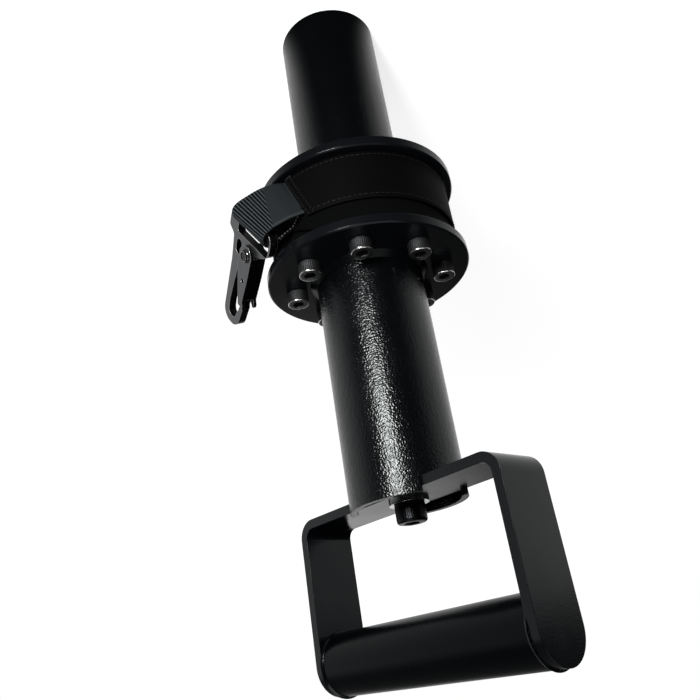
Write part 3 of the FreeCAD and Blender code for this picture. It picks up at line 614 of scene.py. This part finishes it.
def spool_strap_tree():
    """Rolls a flat grid up into a spiral that ends at the seam, and gives it thickness."""
    group = new_group("spool_strap", {
        "Turns": "Float", "Inner radius at seam": "Float", "Pitch": "Float",
        "Width": "Float", "Thickness": "Float", "Seam azimuth": "Float",
        "Seam lean": "Float", "Middle height": "Float", "Inner turns shift": "Float",
        "Sleeve share": "Float", "Strap": "Material", "Sleeve": "Material"})
    start = add(group, "NodeGroupInput").outputs
    grid = add(group, "GeometryNodeMeshGrid", {
        "Size X": 1.0, "Size Y": 1.0, "Vertices X": STEPS_ALONG, "Vertices Y": STEPS_ACROSS})
    place = add(group, "ShaderNodeSeparateXYZ",
                {0: add(group, "GeometryNodeInputPosition")}).outputs
    along = add(group, "ShaderNodeMath", {0: place["X"], 1: 0.5}, operation="ADD")
    across = add(group, "ShaderNodeMath", {0: place["Y"], 1: start["Width"]},
                 operation="MULTIPLY")
    share_left = add(group, "ShaderNodeMath", {0: 1.0, 1: along}, operation="SUBTRACT")
    turns_left = add(group, "ShaderNodeMath", {0: share_left, 1: start["Turns"]},
                     operation="MULTIPLY")
    wound_back = add(group, "ShaderNodeMath", {
        0: turns_left, 1: -math.tau, 2: start["Seam azimuth"]}, operation="MULTIPLY_ADD")
    azimuth = add(group, "ShaderNodeMath", {0: across, 1: start["Seam lean"], 2: wound_back},
                  operation="MULTIPLY_ADD")
    sunk = add(group, "ShaderNodeMath", {0: turns_left, 1: start["Pitch"]},
               operation="MULTIPLY")
    radius = add(group, "ShaderNodeMath", {0: start["Inner radius at seam"], 1: sunk},
                 operation="SUBTRACT")
    shift = add(group, "ShaderNodeMapRange",
                from_to(turns_left, SHIFT_TURNS, 0.0, start["Inner turns shift"]),
                interpolation_type="SMOOTHSTEP")
    middle = add(group, "ShaderNodeMath", {0: start["Middle height"], 1: shift},
                 operation="ADD")
    height = add(group, "ShaderNodeMath", {0: across, 1: middle}, operation="ADD")
    beside = add(group, "ShaderNodeCombineXYZ", {"X": radius, "Z": height})
    rolled = add(group, "ShaderNodeVectorRotate", {"Vector": beside, "Angle": azimuth},
                 rotation_type="Z_AXIS")
    turned = add(group, "ShaderNodeMath", {0: along, 1: start["Turns"]},
                 operation="MULTIPLY")
    girth = add(group, "ShaderNodeMath", {0: start["Inner radius at seam"], 1: math.tau},
                operation="MULTIPLY")
    length = add(group, "ShaderNodeMath", {0: turned, 1: girth}, operation="MULTIPLY")
    flat = add(group, "ShaderNodeCombineXYZ", {"X": length, "Y": across})
    marked = add(group, "GeometryNodeStoreNamedAttribute",
                 {"Geometry": grid, "Name": "strap_uv", "Value": flat},
                 data_type="FLOAT_VECTOR", domain="POINT")
    share = add(group, "GeometryNodeStoreNamedAttribute",
                {"Geometry": marked, "Name": "along", "Value": along},
                data_type="FLOAT", domain="POINT")
    roll = add(group, "GeometryNodeSetPosition", {"Geometry": share, "Position": rolled})
    walls = add(group, "GeometryNodeExtrudeMesh",
                {"Mesh": roll, "Offset Scale": start["Thickness"], "Individual": False},
                mode="FACES")
    back = add(group, "GeometryNodeFlipFaces", {"Mesh": roll})
    closed = add(group, "GeometryNodeJoinGeometry")
    for half in (walls, back):
        group.links.new(half.outputs[0], closed.inputs[0])
    merged = add(group, "GeometryNodeMergeByDistance", {"Geometry": closed,
                                                        "Distance": SAME_POINT})
    plain = add(group, "GeometryNodeRealizeInstances", {"Geometry": merged})
    cloth = add(group, "GeometryNodeSetMaterial", {"Geometry": plain,
                                                   "Material": start["Strap"]})
    mark = add(group, "GeometryNodeInputNamedAttribute", {"Name": "along"},
               data_type="FLOAT")
    sleeve_from = add(group, "ShaderNodeMath", {0: 1.0, 1: start["Sleeve share"]},
                      operation="SUBTRACT")
    in_sleeve = add(group, "FunctionNodeCompare", {0: mark, 1: sleeve_from},
                    data_type="FLOAT", operation="GREATER_THAN")
    sleeve = add(group, "GeometryNodeSetMaterial", {
        "Geometry": cloth, "Selection": in_sleeve, "Material": start["Sleeve"]})
    add(group, "NodeGroupOutput", {"Geometry": sleeve})
    print("spool strap tree:", len(group.nodes), "nodes")
    return group


# %% Wind the strap
STRAP_THICKNESS = 1.3
STRAP_PITCH = 1.385
BAND_OUTER_RADIUS = 45.0
BAND_WIDTH = 25.0
BAND_MIDDLE = 122.3
STRAP_TURNS = 2.6
SLEEVE_TURNS = 0.92
INNER_TURNS_SHIFT = 9.4
SEAM_AZIMUTH = 82.0
SEAM_LEAN_PER_MM = -0.55
STRAP_EDGE = 0.45


def smooth(piece, angle=40):
    """Shades a piece smooth but for edges sharper than an angle."""
    piece.data.polygons.foreach_set("use_smooth", [True] * len(piece.data.polygons))
    piece.data.set_sharp_from_angle(angle=math.radians(angle))


def round_edges(piece, width_mm, segments=2, angle=50):
    """Bevels the sharp edges of a piece for good and shades it smooth."""
    bevel = piece.modifiers.new("edges", "BEVEL")
    bevel.width = width_mm * MM
    bevel.segments = segments
    bevel.limit_method = "ANGLE"
    bevel.angle_limit = math.radians(angle)
    graph = bpy.context.evaluated_depsgraph_get()
    piece.data = bpy.data.meshes.new_from_object(piece.evaluated_get(graph))
    piece.modifiers.clear()
    smooth(piece)


spool_strap = grow("spool_strap", spool_strap_tree(), {
    "Turns": STRAP_TURNS, "Inner radius at seam": (BAND_OUTER_RADIUS - STRAP_THICKNESS) * MM,
    "Pitch": STRAP_PITCH * MM, "Width": BAND_WIDTH * MM, "Thickness": STRAP_THICKNESS * MM,
    "Seam azimuth": math.radians(SEAM_AZIMUTH),
    "Seam lean": math.radians(SEAM_LEAN_PER_MM) / MM, "Middle height": BAND_MIDDLE * MM,
    "Inner turns shift": INNER_TURNS_SHIFT * MM, "Sleeve share": SLEEVE_TURNS / STRAP_TURNS,
    "Strap": strap_cloth, "Sleeve": sleeve_cloth})
round_edges(spool_strap, STRAP_EDGE)
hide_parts("strap_winding", "strap_label_band")
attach(spool_strap, "base")
print("spool strap:", len(spool_strap.data.polygons), "faces with its rounded edges")

# %% [markdown]
# ## The webbing loop
# The strap's end rises off the spool in a hump, goes round the hook's head bar and comes
# back beneath itself, where it is sewn down. It is a ribbon along a path, and what makes it
# look like webbing is its cross ribs, real ridges 1.5 mm apart, and its rounded selvedge.
# A ribbon of mesh code suits it better than a swept curve: both ends have to lie down on
# the round spool while the middle runs free, and its two edges take different paths.

# %% Strap frame and path
# The hump is drawn at its far and near edge, in millimetres of the strap's own frame: along
# the strap and away from the spool. Both edges then share the way round the bar and back.
STRAP_PLACE = (Matrix.Translation(Vector((6.6, 42.9, 119.8)))
               @ Matrix.Rotation(math.radians(31.0), 4, "Y")
               @ Matrix.Rotation(math.radians(10.0), 4, "X"))
LOOP_THICKNESS = 1.4
LOOP_HALF_WIDTH = 12.1
ROW_STEP = 0.15
HUMP_FAR = [(4.5, -0.4), (2.4, -0.2), (0.3, 0.2), (-1.4, 3.4), (-3.9, 8.2), (-7.4, 12.6),
            (-10.7, 15.7), (-13.3, 18.0), (-16.0, 19.8), (-18.4, 20.3), (-20.4, 19.6),
            (-21.9, 18.0), (-22.9, 15.3), (-23.7, 12.9)]
HUMP_NEAR = [(2.0, 1.8), (-0.5, 2.5), (-2.9, 3.1), (-4.7, 5.6), (-6.6, 8.6), (-9.2, 11.6),
             (-12.9, 15.3), (-16.6, 17.5), (-19.8, 17.8), (-21.6, 16.6), (-22.9, 14.9),
             (-23.7, 12.9)]
ROUND_THE_BAR = [(-23.7, 12.9), (-23.8, 10.8), (-23.2, 8.9), (-21.9, 7.5), (-20.0, 6.7),
                 (-17.4, 5.1), (-14.0, 2.9), (-10.5, 0.9), (-7.0, -0.1), (-3.0, -0.2)]


def spline(points, steps=24):
    """A smooth curve through points, as a fine polyline."""
    knots = [Vector(point) for point in points]
    knots = [2 * knots[0] - knots[1]] + knots + [2 * knots[-1] - knots[-2]]
    curve = []
    for a, b, c, d in zip(knots, knots[1:], knots[2:], knots[3:]):
        for step in range(steps):
            t = step / steps
            curve.append(0.5 * (2 * b + (c - a) * t + (2 * a - 5 * b + 4 * c - d) * t * t
                                + (3 * b - a - 3 * c + d) * t ** 3))
    return curve + [knots[-2]]


def length_of(curve):
    """Length of a polyline."""
    return sum((end - start).length for start, end in zip(curve, curve[1:]))


def spaced(curve, count):
    """Count points evenly spaced along a polyline."""
    lengths = [0.0]
    for start, end in zip(curve, curve[1:]):
        lengths.append(lengths[-1] + (end - start).length)
    points = []
    span = 0
    for index in range(count):
        target = lengths[-1] * index / (count - 1)
        while span < len(curve) - 2 and lengths[span + 1] < target:
            span += 1
        share = (target - lengths[span]) / (lengths[span + 1] - lengths[span])
        points.append(curve[span].lerp(curve[span + 1], share))
    return points


def middle_line(outer):
    """The middle of the webbing under its outer face."""
    line = []
    for index, point in enumerate(outer):
        along = outer[min(index + 1, len(outer) - 1)] - outer[max(index - 1, 0)]
        inwards = Vector((-along.y, along.x)).normalized()
        line.append(point + inwards * LOOP_THICKNESS / 2)
    return line


hump_rows = round(length_of(spline(HUMP_FAR)) / ROW_STEP)
eye_rows = round(length_of(spline(ROUND_THE_BAR)) / ROW_STEP)
eye = spaced(spline(ROUND_THE_BAR), eye_rows)
far_line = middle_line(spaced(spline(HUMP_FAR), hump_rows) + eye[1:])
near_line = middle_line(spaced(spline(HUMP_NEAR), hump_rows) + eye[1:])
last_row = len(far_line) - 1
print("webbing loop:", round(length_of(far_line)), "mm long in", last_row, "steps")

# %% Rows of the loop
# Distances along the loop are in millimetres from where it leaves the seam.
LOOP_COLUMNS = 33
IN_SLEEVE_RADIUS = BAND_OUTER_RADIUS - 0.3 - LOOP_THICKNESS / 2
UNDER_TURN_RADIUS = BAND_OUTER_RADIUS - STRAP_PITCH + 0.1 + LOOP_THICKNESS / 2
LEAVES_SLEEVE = (4.2, 7.5)
LIES_DOWN_BEFORE_END = (-11.0, -4.0)
REACHES_BAR = (40.0, 47.0)
LEAVES_BAR = (58.0, 68.0)
SHIFT_AT_BAR = 0.9


def smooth_step(value, ends):
    """0 below the first end and 1 above the second, with a smooth rise between them."""
    low, high = ends
    t = min(max((value - low) / (high - low), 0.0), 1.0)
    return t * t * (3 - 2 * t)


def laid_on_spool(point, radius, weight):
    """Draws a point in millimetres towards a cylinder round the tubes' axis."""
    out = Vector((point.x, point.y, 0))
    on_it = out.normalized() * radius
    return point.lerp(Vector((on_it.x, on_it.y, point.z)), weight)


width_steps = [LOOP_HALF_WIDTH * math.sin(math.pi / 2 * (2 * j / (LOOP_COLUMNS - 1) - 1))
               for j in range(LOOP_COLUMNS)]
loop_rows = []
for i in range(last_row + 1):
    at = i * ROW_STEP
    in_sleeve = 1 - smooth_step(at, LEAVES_SLEEVE)
    lies_last = smooth_step((i - last_row) * ROW_STEP, LIES_DOWN_BEFORE_END)
    at_bar = smooth_step(at, REACHES_BAR) - smooth_step(at, LEAVES_BAR)
    row = []
    for across in width_steps:
        share = (across + LOOP_HALF_WIDTH) / (2 * LOOP_HALF_WIDTH)
        middle = far_line[i].lerp(near_line[i], share)
        point = STRAP_PLACE @ Vector((middle.x, middle.y, across - SHIFT_AT_BAR * at_bar))
        point = laid_on_spool(point, IN_SLEEVE_RADIUS, in_sleeve)
        row.append(laid_on_spool(point, UNDER_TURN_RADIUS, lies_last))
    loop_rows.append(row)
print("loop grid:", len(loop_rows), "x", LOOP_COLUMNS)

# %% Ribbon
SELVEDGE = 0.9
THINNEST = 0.06


def ribbon(name, rows, thickness, relief):
    """A closed ribbon round a grid of middle points, thinned to a round selvedge.

    relief(row, column) gives what the top face adds, in millimetres, and how much painted
    light it gets. The attribute strap_uv holds metres along, metres across and that painted
    light.
    Returns the piece and its grid of top points.
    """
    count = len(rows)
    columns = len(rows[0])
    top = []
    bottom = []
    lengths = [0.0]
    for i in range(1, count):
        middle = columns // 2
        lengths.append(lengths[-1] + (rows[i][middle] - rows[i - 1][middle]).length)
    for i, row in enumerate(rows):
        before = rows[max(i - 1, 0)]
        after = rows[min(i + 1, count - 1)]
        top.append([])
        bottom.append([])
        for j, point in enumerate(row):
            sideways = row[min(j + 1, columns - 1)] - row[max(j - 1, 0)]
            outwards = (after[j] - before[j]).cross(sideways).normalized()
            from_edge = min((row[0] - point).length, (row[-1] - point).length)
            inset = max(0.0, 1 - from_edge / SELVEDGE)
            half = thickness / 2 * math.sqrt(max(THINNEST, 1 - inset * inset))
            top[-1].append(point + outwards * (half + relief(i, j)[0]))
            bottom[-1].append(point - outwards * half)
    vertices = []
    flat = []
    for i in range(count):
        vertices += [point * MM for point in top[i] + bottom[i][::-1]]
        width = [(point - rows[i][0]).length for point in rows[i]]
        # The painted light of each point goes into strap_uv.
        painted_light = [relief(i, j)[1] for j in range(columns)]
        flat += [(lengths[i] * MM, across * MM, high) for across, high
                 in zip(width + width[::-1], painted_light + painted_light[::-1])]
    around = 2 * columns
    faces = []
    for i in range(count - 1):
        for j in range(around):
            here = i * around + j
            beside = i * around + (j + 1) % around
            faces.append((here, beside, beside + around, here + around))
    for i in (0, count - 1):
        for j in range(columns - 1):
            low = i * around + j
            high = i * around + around - 1 - j
            faces.append((low, low + 1, high - 1, high))
    mesh = bpy.data.meshes.new(name)
    mesh.from_pydata(vertices, [], faces)
    attribute = mesh.attributes.new("strap_uv", "FLOAT_VECTOR", "POINT")
    attribute.data.foreach_set("vector", [value for place in flat for value in place])
    shape = bmesh.new()
    shape.from_mesh(mesh)
    bmesh.ops.recalc_face_normals(shape, faces=shape.faces)
    shape.to_mesh(mesh)
    shape.free()
    piece = bpy.data.objects.new(name, mesh)
    scene.collection.objects.link(piece)
    smooth(piece, 50)
    print(name, "is", round(lengths[-1]), "mm long with", len(faces), "faces")
    return piece, top


# %% Ribs and the finished loop
RIB_PITCH = 1.54
RIB_HEIGHT = 0.55
RIBS_BEGIN = 19.6
RIBS_LEAN = 4.9
RIBS_RISE = 1.2
RIBS_END = (52.0, 54.0)
PLAIN_ENDS = (48.0, 52.0)
# Shares of the light colour that paint light on the loop: a plain patch by the seam, its near
# edge, and the crests, which are painted darker round the bar.
PLAIN_PATCH_PAINTED_LIGHT = 0.24
NEAR_EDGE_PAINTED_HIGHLIGHT = 0.22
EDGE_BAND = (0.4, 1.2)
RIB_EDGE = (0.2, 1.0)
CREST_SHADE_ROUND_BAR = 0.6
CREST_SHADE_FROM = (32.0, 43.0)


def rib_relief(i, j):
    """Cross ribs on the hump and round the bar, after a smooth patch by the seam, with
    painted light: lighter crests, a lighter patch and near edge, and crests painted darker
    round the bar.
    """
    across = width_steps[j]
    at = i * ROW_STEP
    begins = RIBS_BEGIN + RIBS_LEAN * (across / LOOP_HALF_WIDTH)
    ribbed = smooth_step(at, (begins, begins + RIBS_RISE)) * (1 - smooth_step(at, RIBS_END))
    near_edge = smooth_step(LOOP_HALF_WIDTH - abs(across), RIB_EDGE)
    wave = math.sin(math.pi * at / RIB_PITCH) ** 2
    # Painted shade: the crests go darker round the bar.
    crest_light_left = 1 - CREST_SHADE_ROUND_BAR * smooth_step(at, CREST_SHADE_FROM)
    # Painted highlight along the near edge, and on the plain patch by the seam.
    edge = NEAR_EDGE_PAINTED_HIGHLIGHT * (1 - smooth_step(LOOP_HALF_WIDTH - across, EDGE_BAND))
    plain = (PLAIN_PATCH_PAINTED_LIGHT + edge) * (1 - smooth_step(at, PLAIN_ENDS))
    # Painted light on the crests, painted shade in the grooves.
    painted_light = plain + (wave ** 3 * crest_light_left - plain) * ribbed
    return RIB_HEIGHT * ribbed * near_edge * (wave - 0.5), painted_light


webbing_loop, loop_top = ribbon("webbing_loop", loop_rows, LOOP_THICKNESS, rib_relief)
webbing_loop.data.materials.append(ribbed_cloth)
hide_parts("hook_webbing_loop")
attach(webbing_loop, "base")

# %% [markdown]
# ## Geometry Nodes: stitches
# A row of stitches is one small shape repeated along a line. The tree turns a line of mesh
# edges into a curve, puts a point on it every stitch length, and sets a short rounded
# thread on each point, turned along the line.

# %% Stitch tree
def stitch_tree():
    """Sets a bead of thread at each step along the lines of a mesh."""
    group = new_group("stitch_row", {"Pitch": "Float", "Stitch length": "Float",
                                     "Thread radius": "Float", "Thread": "Material"})
    start = add(group, "NodeGroupInput").outputs
    line = add(group, "GeometryNodeMeshToCurve", {"Mesh": start["Geometry"]})
    points = add(group, "GeometryNodeResampleCurve", {"Curve": line,
                                                      "Length": start["Pitch"]},
                 mode="LENGTH")
    along = add(group, "FunctionNodeAlignRotationToVector",
                {"Vector": add(group, "GeometryNodeInputTangent")}, axis="Z")
    bead = add(group, "GeometryNodeMeshUVSphere", {"Segments": 8, "Rings": 6, "Radius": 0.5})
    girth = add(group, "ShaderNodeMath", {0: start["Thread radius"], 1: 2.0},
                operation="MULTIPLY")
    scale = add(group, "ShaderNodeCombineXYZ", {"X": girth, "Y": girth,
                                                "Z": start["Stitch length"]})
    row = add(group, "GeometryNodeInstanceOnPoints", {
        "Points": points, "Instance": bead, "Rotation": along, "Scale": scale})
    plain = add(group, "GeometryNodeRealizeInstances", {"Geometry": row})
    shaded = add(group, "GeometryNodeSetShadeSmooth", {"Geometry": plain})
    sewn = add(group, "GeometryNodeSetMaterial", {"Geometry": shaded,
                                                  "Material": start["Thread"]})
    add(group, "NodeGroupOutput", {"Geometry": sewn})
    return group


def line_mesh(name, lines):
    """A mesh of open polylines, from lists of points in millimetres."""
    vertices = []
    edges = []
    for line in lines:
        first = len(vertices)
        vertices += [point * MM for point in line]
        edges += [(first + i, first + i + 1) for i in range(len(line) - 1)]
    mesh = bpy.data.meshes.new(name)
    mesh.from_pydata(vertices, edges, [])
    return mesh


stitch_group = stitch_tree()


def sew(name, lines, pitch, length, radius, material):
    """Sews along lines, with sizes in millimetres, and fixes the stitches to the base."""
    piece = grow(name, stitch_group, {"Pitch": pitch * MM, "Stitch length": length * MM,
                                      "Thread radius": radius * MM, "Thread": material},
                 line_mesh(name + "_line", lines))
    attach(piece, "base")


print("stitch tree:", len(stitch_group.nodes), "nodes")

# %% Sew the seam and the sleeve
SEAM_ROWS_BEYOND = (1.6, 5.0)
SEAM_INSET = 2.4
SEAM_STEPS = 40
SLEEVE_INSET = 2.0
SLEEVE_STEPS = 160
SLEEVE_FIRST = -235


def round_band(height, last):
    """A line round the outer turn at one height, up to an azimuth in degrees."""
    line = []
    for step in range(SLEEVE_STEPS + 1):
        azimuth = SLEEVE_FIRST + (last - SLEEVE_FIRST) * step / SLEEVE_STEPS
        turned = (SEAM_AZIMUTH - azimuth) / 360
        out = ray(azimuth) * (BAND_OUTER_RADIUS + 0.08 - STRAP_PITCH * turned)
        line.append(Vector((out.x, out.y, height)))
    return line


def seam_line(beyond):
    """A line across the sleeve's end, a few degrees round the spool from the seam."""
    line = []
    for step in range(SEAM_STEPS + 1):
        across = (step / SEAM_STEPS - 0.5) * (BAND_WIDTH - SEAM_INSET)
        azimuth = SEAM_AZIMUTH + SEAM_LEAN_PER_MM * across - beyond
        out = ray(azimuth) * (BAND_OUTER_RADIUS + 0.06)
        line.append(Vector((out.x, out.y, BAND_MIDDLE + across)))
    return line


band_low = BAND_MIDDLE - BAND_WIDTH / 2
band_high = BAND_MIDDLE + BAND_WIDTH / 2
sew("seam_stitches", [seam_line(beyond) for beyond in SEAM_ROWS_BEYOND],
    pitch=2.1, length=1.7, radius=0.24, material=black_thread)
sew("sleeve_stitches", [round_band(band_high - SLEEVE_INSET, 70),
                        round_band(band_low + SLEEVE_INSET, 80)],
    pitch=2.4, length=1.9, radius=0.2, material=black_thread)

# %% Sew the loop's return
RETURN_LENGTH = 19.0
RETURN_ROWS_LEFT = 6
RETURN_COLUMNS = (LOOP_COLUMNS - 5, 4)


def under_line(column, first, last, lift=0.05):
    """A line along the loop's return, on its inner face near one edge."""
    line = []
    for i in range(first, last):
        middle = loop_rows[i][column]
        inwards = (middle - loop_top[i][column]).normalized()
        line.append(middle + inwards * (LOOP_THICKNESS / 2 + lift))
    return line


return_first = last_row - round(RETURN_LENGTH / ROW_STEP)
sew("return_stitches", [under_line(column, return_first, last_row - RETURN_ROWS_LEFT)
                        for column in RETURN_COLUMNS],
    pitch=1.6, length=0.95, radius=0.28, material=grey_thread)

# %% [markdown]
# ## Geometry Nodes: the flange screws
# A socket head cap screw is turned, knurled on its side and forged with a hexagon socket.
# One screw is built ring by ring: the side rings move in and out from tooth to tooth, and
# the socket rings follow a hexagon. A tree then sets that screw on eight points round the
# flange, each with its own turn from a fixed seed. Only the rounded rim of a head shines,
# so a face attribute marks the rest of it for a rougher steel whose dark colour is painted
# shade. The handle's screw is one more of its kind, with a rounder head, so the same
# function makes it.

# %% One cap screw
STEPS_PER_TOOTH = 4
RIM_TURNS = (0, 30, 60, 90)
# Levels of faces that get the rougher steel whose dark colour is painted shade: the knurled
# side, and everything from the flat top into the socket.
ROUGH_SHADED_SIDE_LEVELS = (3, 4, 5)
ROUGH_SHADED_FROM_LEVEL = 10


def hexagon_radius(turn, across_flats):
    """Distance from the centre to a hexagon's side in a direction."""
    step = math.pi / 3
    return across_flats / 2 / math.cos((turn + step / 2) % step - step / 2)


def cap_screw(name, head_radius, head_height, across_flats, socket_depth, shank_radius,
              shank_length, teeth, tooth_depth, chamfer):
    """A screw with its head seated on z = 0, in metres, from sizes in millimetres.

    Every ring has the same count of points, so a level of faces joins each ring to the
    next. A face attribute is 1 on the knurled side, the flat top and the socket: there a
    rougher steel paints shade with its dark colour.
    """
    sides = teeth * STEPS_PER_TOOTH
    turns = [math.tau * i / sides for i in range(sides)]

    def ring(radius, height):
        return [(radius * math.cos(a), radius * math.sin(a), height) for a in turns]

    def toothed(height, share):
        points = []
        for index, a in enumerate(turns):
            deep = (index % STEPS_PER_TOOTH) in (2, 3)
            radius = head_radius - (tooth_depth * share if deep else 0.0)
            points.append((radius * math.cos(a), radius * math.sin(a), height))
        return points

    def socket(height, scale=1.0):
        points = []
        for a in turns:
            radius = hexagon_radius(a, across_flats) * scale
            points.append((radius * math.cos(a), radius * math.sin(a), height))
        return points

    def rounded(turn):
        """A ring on the head's rounded rim, a turn of 0 to 90 degrees up it."""
        turn = math.radians(turn)
        return ring(head_radius - chamfer * (1 - math.cos(turn)),
                    head_height - chamfer * (1 - math.sin(turn)))

    knurl_top = head_height - chamfer - 0.1
    rings = [
        ring(shank_radius * 0.8, -shank_length),
        ring(shank_radius, -shank_length + shank_radius * 0.2),
        ring(shank_radius, 0.0),
        ring(head_radius * 0.94, 0.0),
        toothed(head_height * 0.04, 1.0),
        toothed(knurl_top - 0.25, 1.0),
        toothed(knurl_top, 0.0),
        *[rounded(turn) for turn in RIM_TURNS],
        socket(head_height, 1.1),
        socket(head_height - across_flats * 0.04),
        socket(head_height - socket_depth),
        ring(across_flats * 0.15, head_height - socket_depth * 1.2),
    ]
    vertices = [(x * MM, y * MM, z * MM) for points in rings for x, y, z in points]
    faces = []
    for level in range(len(rings) - 1):
        for i in range(sides):
            low = level * sides + i
            beside = level * sides + (i + 1) % sides
            faces.append((low, beside, beside + sides, low + sides))
    faces.append(tuple(range(sides))[::-1])
    faces.append(tuple(range((len(rings) - 1) * sides, len(rings) * sides)))
    mesh = bpy.data.meshes.new(name)
    mesh.from_pydata(vertices, [], faces)
    levels = [index // sides for index in range(len(faces))]
    # Marks the faces for the rougher steel whose dark colour is painted shade.
    dull = mesh.attributes.new("dull", "FLOAT", "FACE")
    dull.data.foreach_set("value", [
        float(level in ROUGH_SHADED_SIDE_LEVELS or level >= ROUGH_SHADED_FROM_LEVEL) for level in levels])
    print(name, "has", len(faces), "faces in", len(rings) - 1, "levels")
    return mesh


# %% Screw ring tree
SCREW_SEED = 5
MOST_OWN_TURN = 1.04


def screw_ring_tree():
    """Sets copies of a screw on a circle, each turned a little by itself."""
    group = new_group("screw_ring", {
        "Screw": "Object", "Count": "Int", "Radius": "Float", "Height": "Float",
        "Turn": "Float", "Steel": "Material", "Rough steel with painted shade": "Material"})
    start = add(group, "NodeGroupInput").outputs
    circle = add(group, "GeometryNodeMeshCircle", {"Vertices": start["Count"],
                                                   "Radius": start["Radius"]})
    lift = add(group, "ShaderNodeCombineXYZ", {"Z": start["Height"]})
    spin = add(group, "FunctionNodeEulerToRotation",
               {0: add(group, "ShaderNodeCombineXYZ", {"Z": start["Turn"]})})
    placed = add(group, "GeometryNodeTransform", {
        "Geometry": circle, "Translation": lift, "Rotation": spin})
    screw = add(group, "GeometryNodeObjectInfo", {"Object": start["Screw"]})
    own_turn = add(group, "FunctionNodeRandomValue", {
        2: 0.0, 3: MOST_OWN_TURN, "Seed": SCREW_SEED}, data_type="FLOAT").outputs[1]
    twist = add(group, "FunctionNodeEulerToRotation",
                {0: add(group, "ShaderNodeCombineXYZ", {"Z": own_turn})})
    row = add(group, "GeometryNodeInstanceOnPoints", {
        "Points": placed, "Instance": screw.outputs["Geometry"], "Rotation": twist})
    plain = add(group, "GeometryNodeRealizeInstances", {"Geometry": row})
    steel = add(group, "GeometryNodeSetMaterial", {"Geometry": plain,
                                                   "Material": start["Steel"]})
    # Marked faces get the rougher steel whose dark colour is painted shade.
    mark = add(group, "GeometryNodeInputNamedAttribute", {"Name": "dull"},
               data_type="FLOAT")
    marked = add(group, "FunctionNodeCompare", {0: mark, 1: 0.5}, data_type="FLOAT",
                 operation="GREATER_THAN")
    rough_shaded_screws = add(group, "GeometryNodeSetMaterial", {
        "Geometry": steel, "Material": start["Rough steel with painted shade"], "Selection": marked})
    add(group, "NodeGroupOutput", {"Geometry": rough_shaded_screws})
    print("screw ring tree:", len(group.nodes), "nodes")
    return group


# %% Set the flange screws
SCREW_COUNT = 8
SCREW_CIRCLE_RADIUS = 35.0
SCREW_TURN = 2.5
NEAR_FLANGE_FACE = 150.0
KNURL_ANGLE = 28

pattern_mesh = cap_screw("flange_screw_pattern", head_radius=5.0, head_height=6.0,
                         across_flats=5.0, socket_depth=3.2, shank_radius=3.0,
                         shank_length=20.0, teeth=32, tooth_depth=0.12, chamfer=0.45)
pattern = bpy.data.objects.new("flange_screw_pattern", pattern_mesh)
scene.collection.objects.link(pattern)
knurled_screws = grow("knurled_flange_screws", screw_ring_tree(), {
    "Screw": pattern, "Count": SCREW_COUNT, "Radius": SCREW_CIRCLE_RADIUS * MM,
    "Height": NEAR_FLANGE_FACE * MM, "Turn": math.radians(SCREW_TURN), "Steel": screw_steel,
    "Rough steel with painted shade": rough_shaded_steel})
bpy.data.objects.remove(pattern)
smooth(knurled_screws, KNURL_ANGLE)
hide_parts("flange_screws")
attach(knurled_screws, "base")

# %% Set the handle screw
HANDLE_HEAD_HEIGHT = 8.0

handle_screw_mesh = cap_screw("knurled_handle_screw", head_radius=6.5,
                              head_height=HANDLE_HEAD_HEIGHT, across_flats=6.0,
                              socket_depth=4.2, shank_radius=4.0, shank_length=16.0,
                              teeth=40, tooth_depth=0.06, chamfer=1.3)
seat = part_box("handle_screw")[1].z - HANDLE_HEAD_HEIGHT * MM
handle_screw_mesh.transform(Matrix.Translation((0, 0, seat)))
handle_screw_mesh.materials.append(black_screw_steel)
knurled_handle_screw = bpy.data.objects.new("knurled_handle_screw", handle_screw_mesh)
scene.collection.objects.link(knurled_handle_screw)
smooth(knurled_handle_screw, KNURL_ANGLE)
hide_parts("handle_screw")
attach(knurled_handle_screw, "base")
print("handle screw seated at", round(seat / MM, 2), "mm")

# %% [markdown]
# ## Finish
# The Standard view transform shows each colour about as it is written.

# %% Finish
scene.view_settings.view_transform = "Standard"
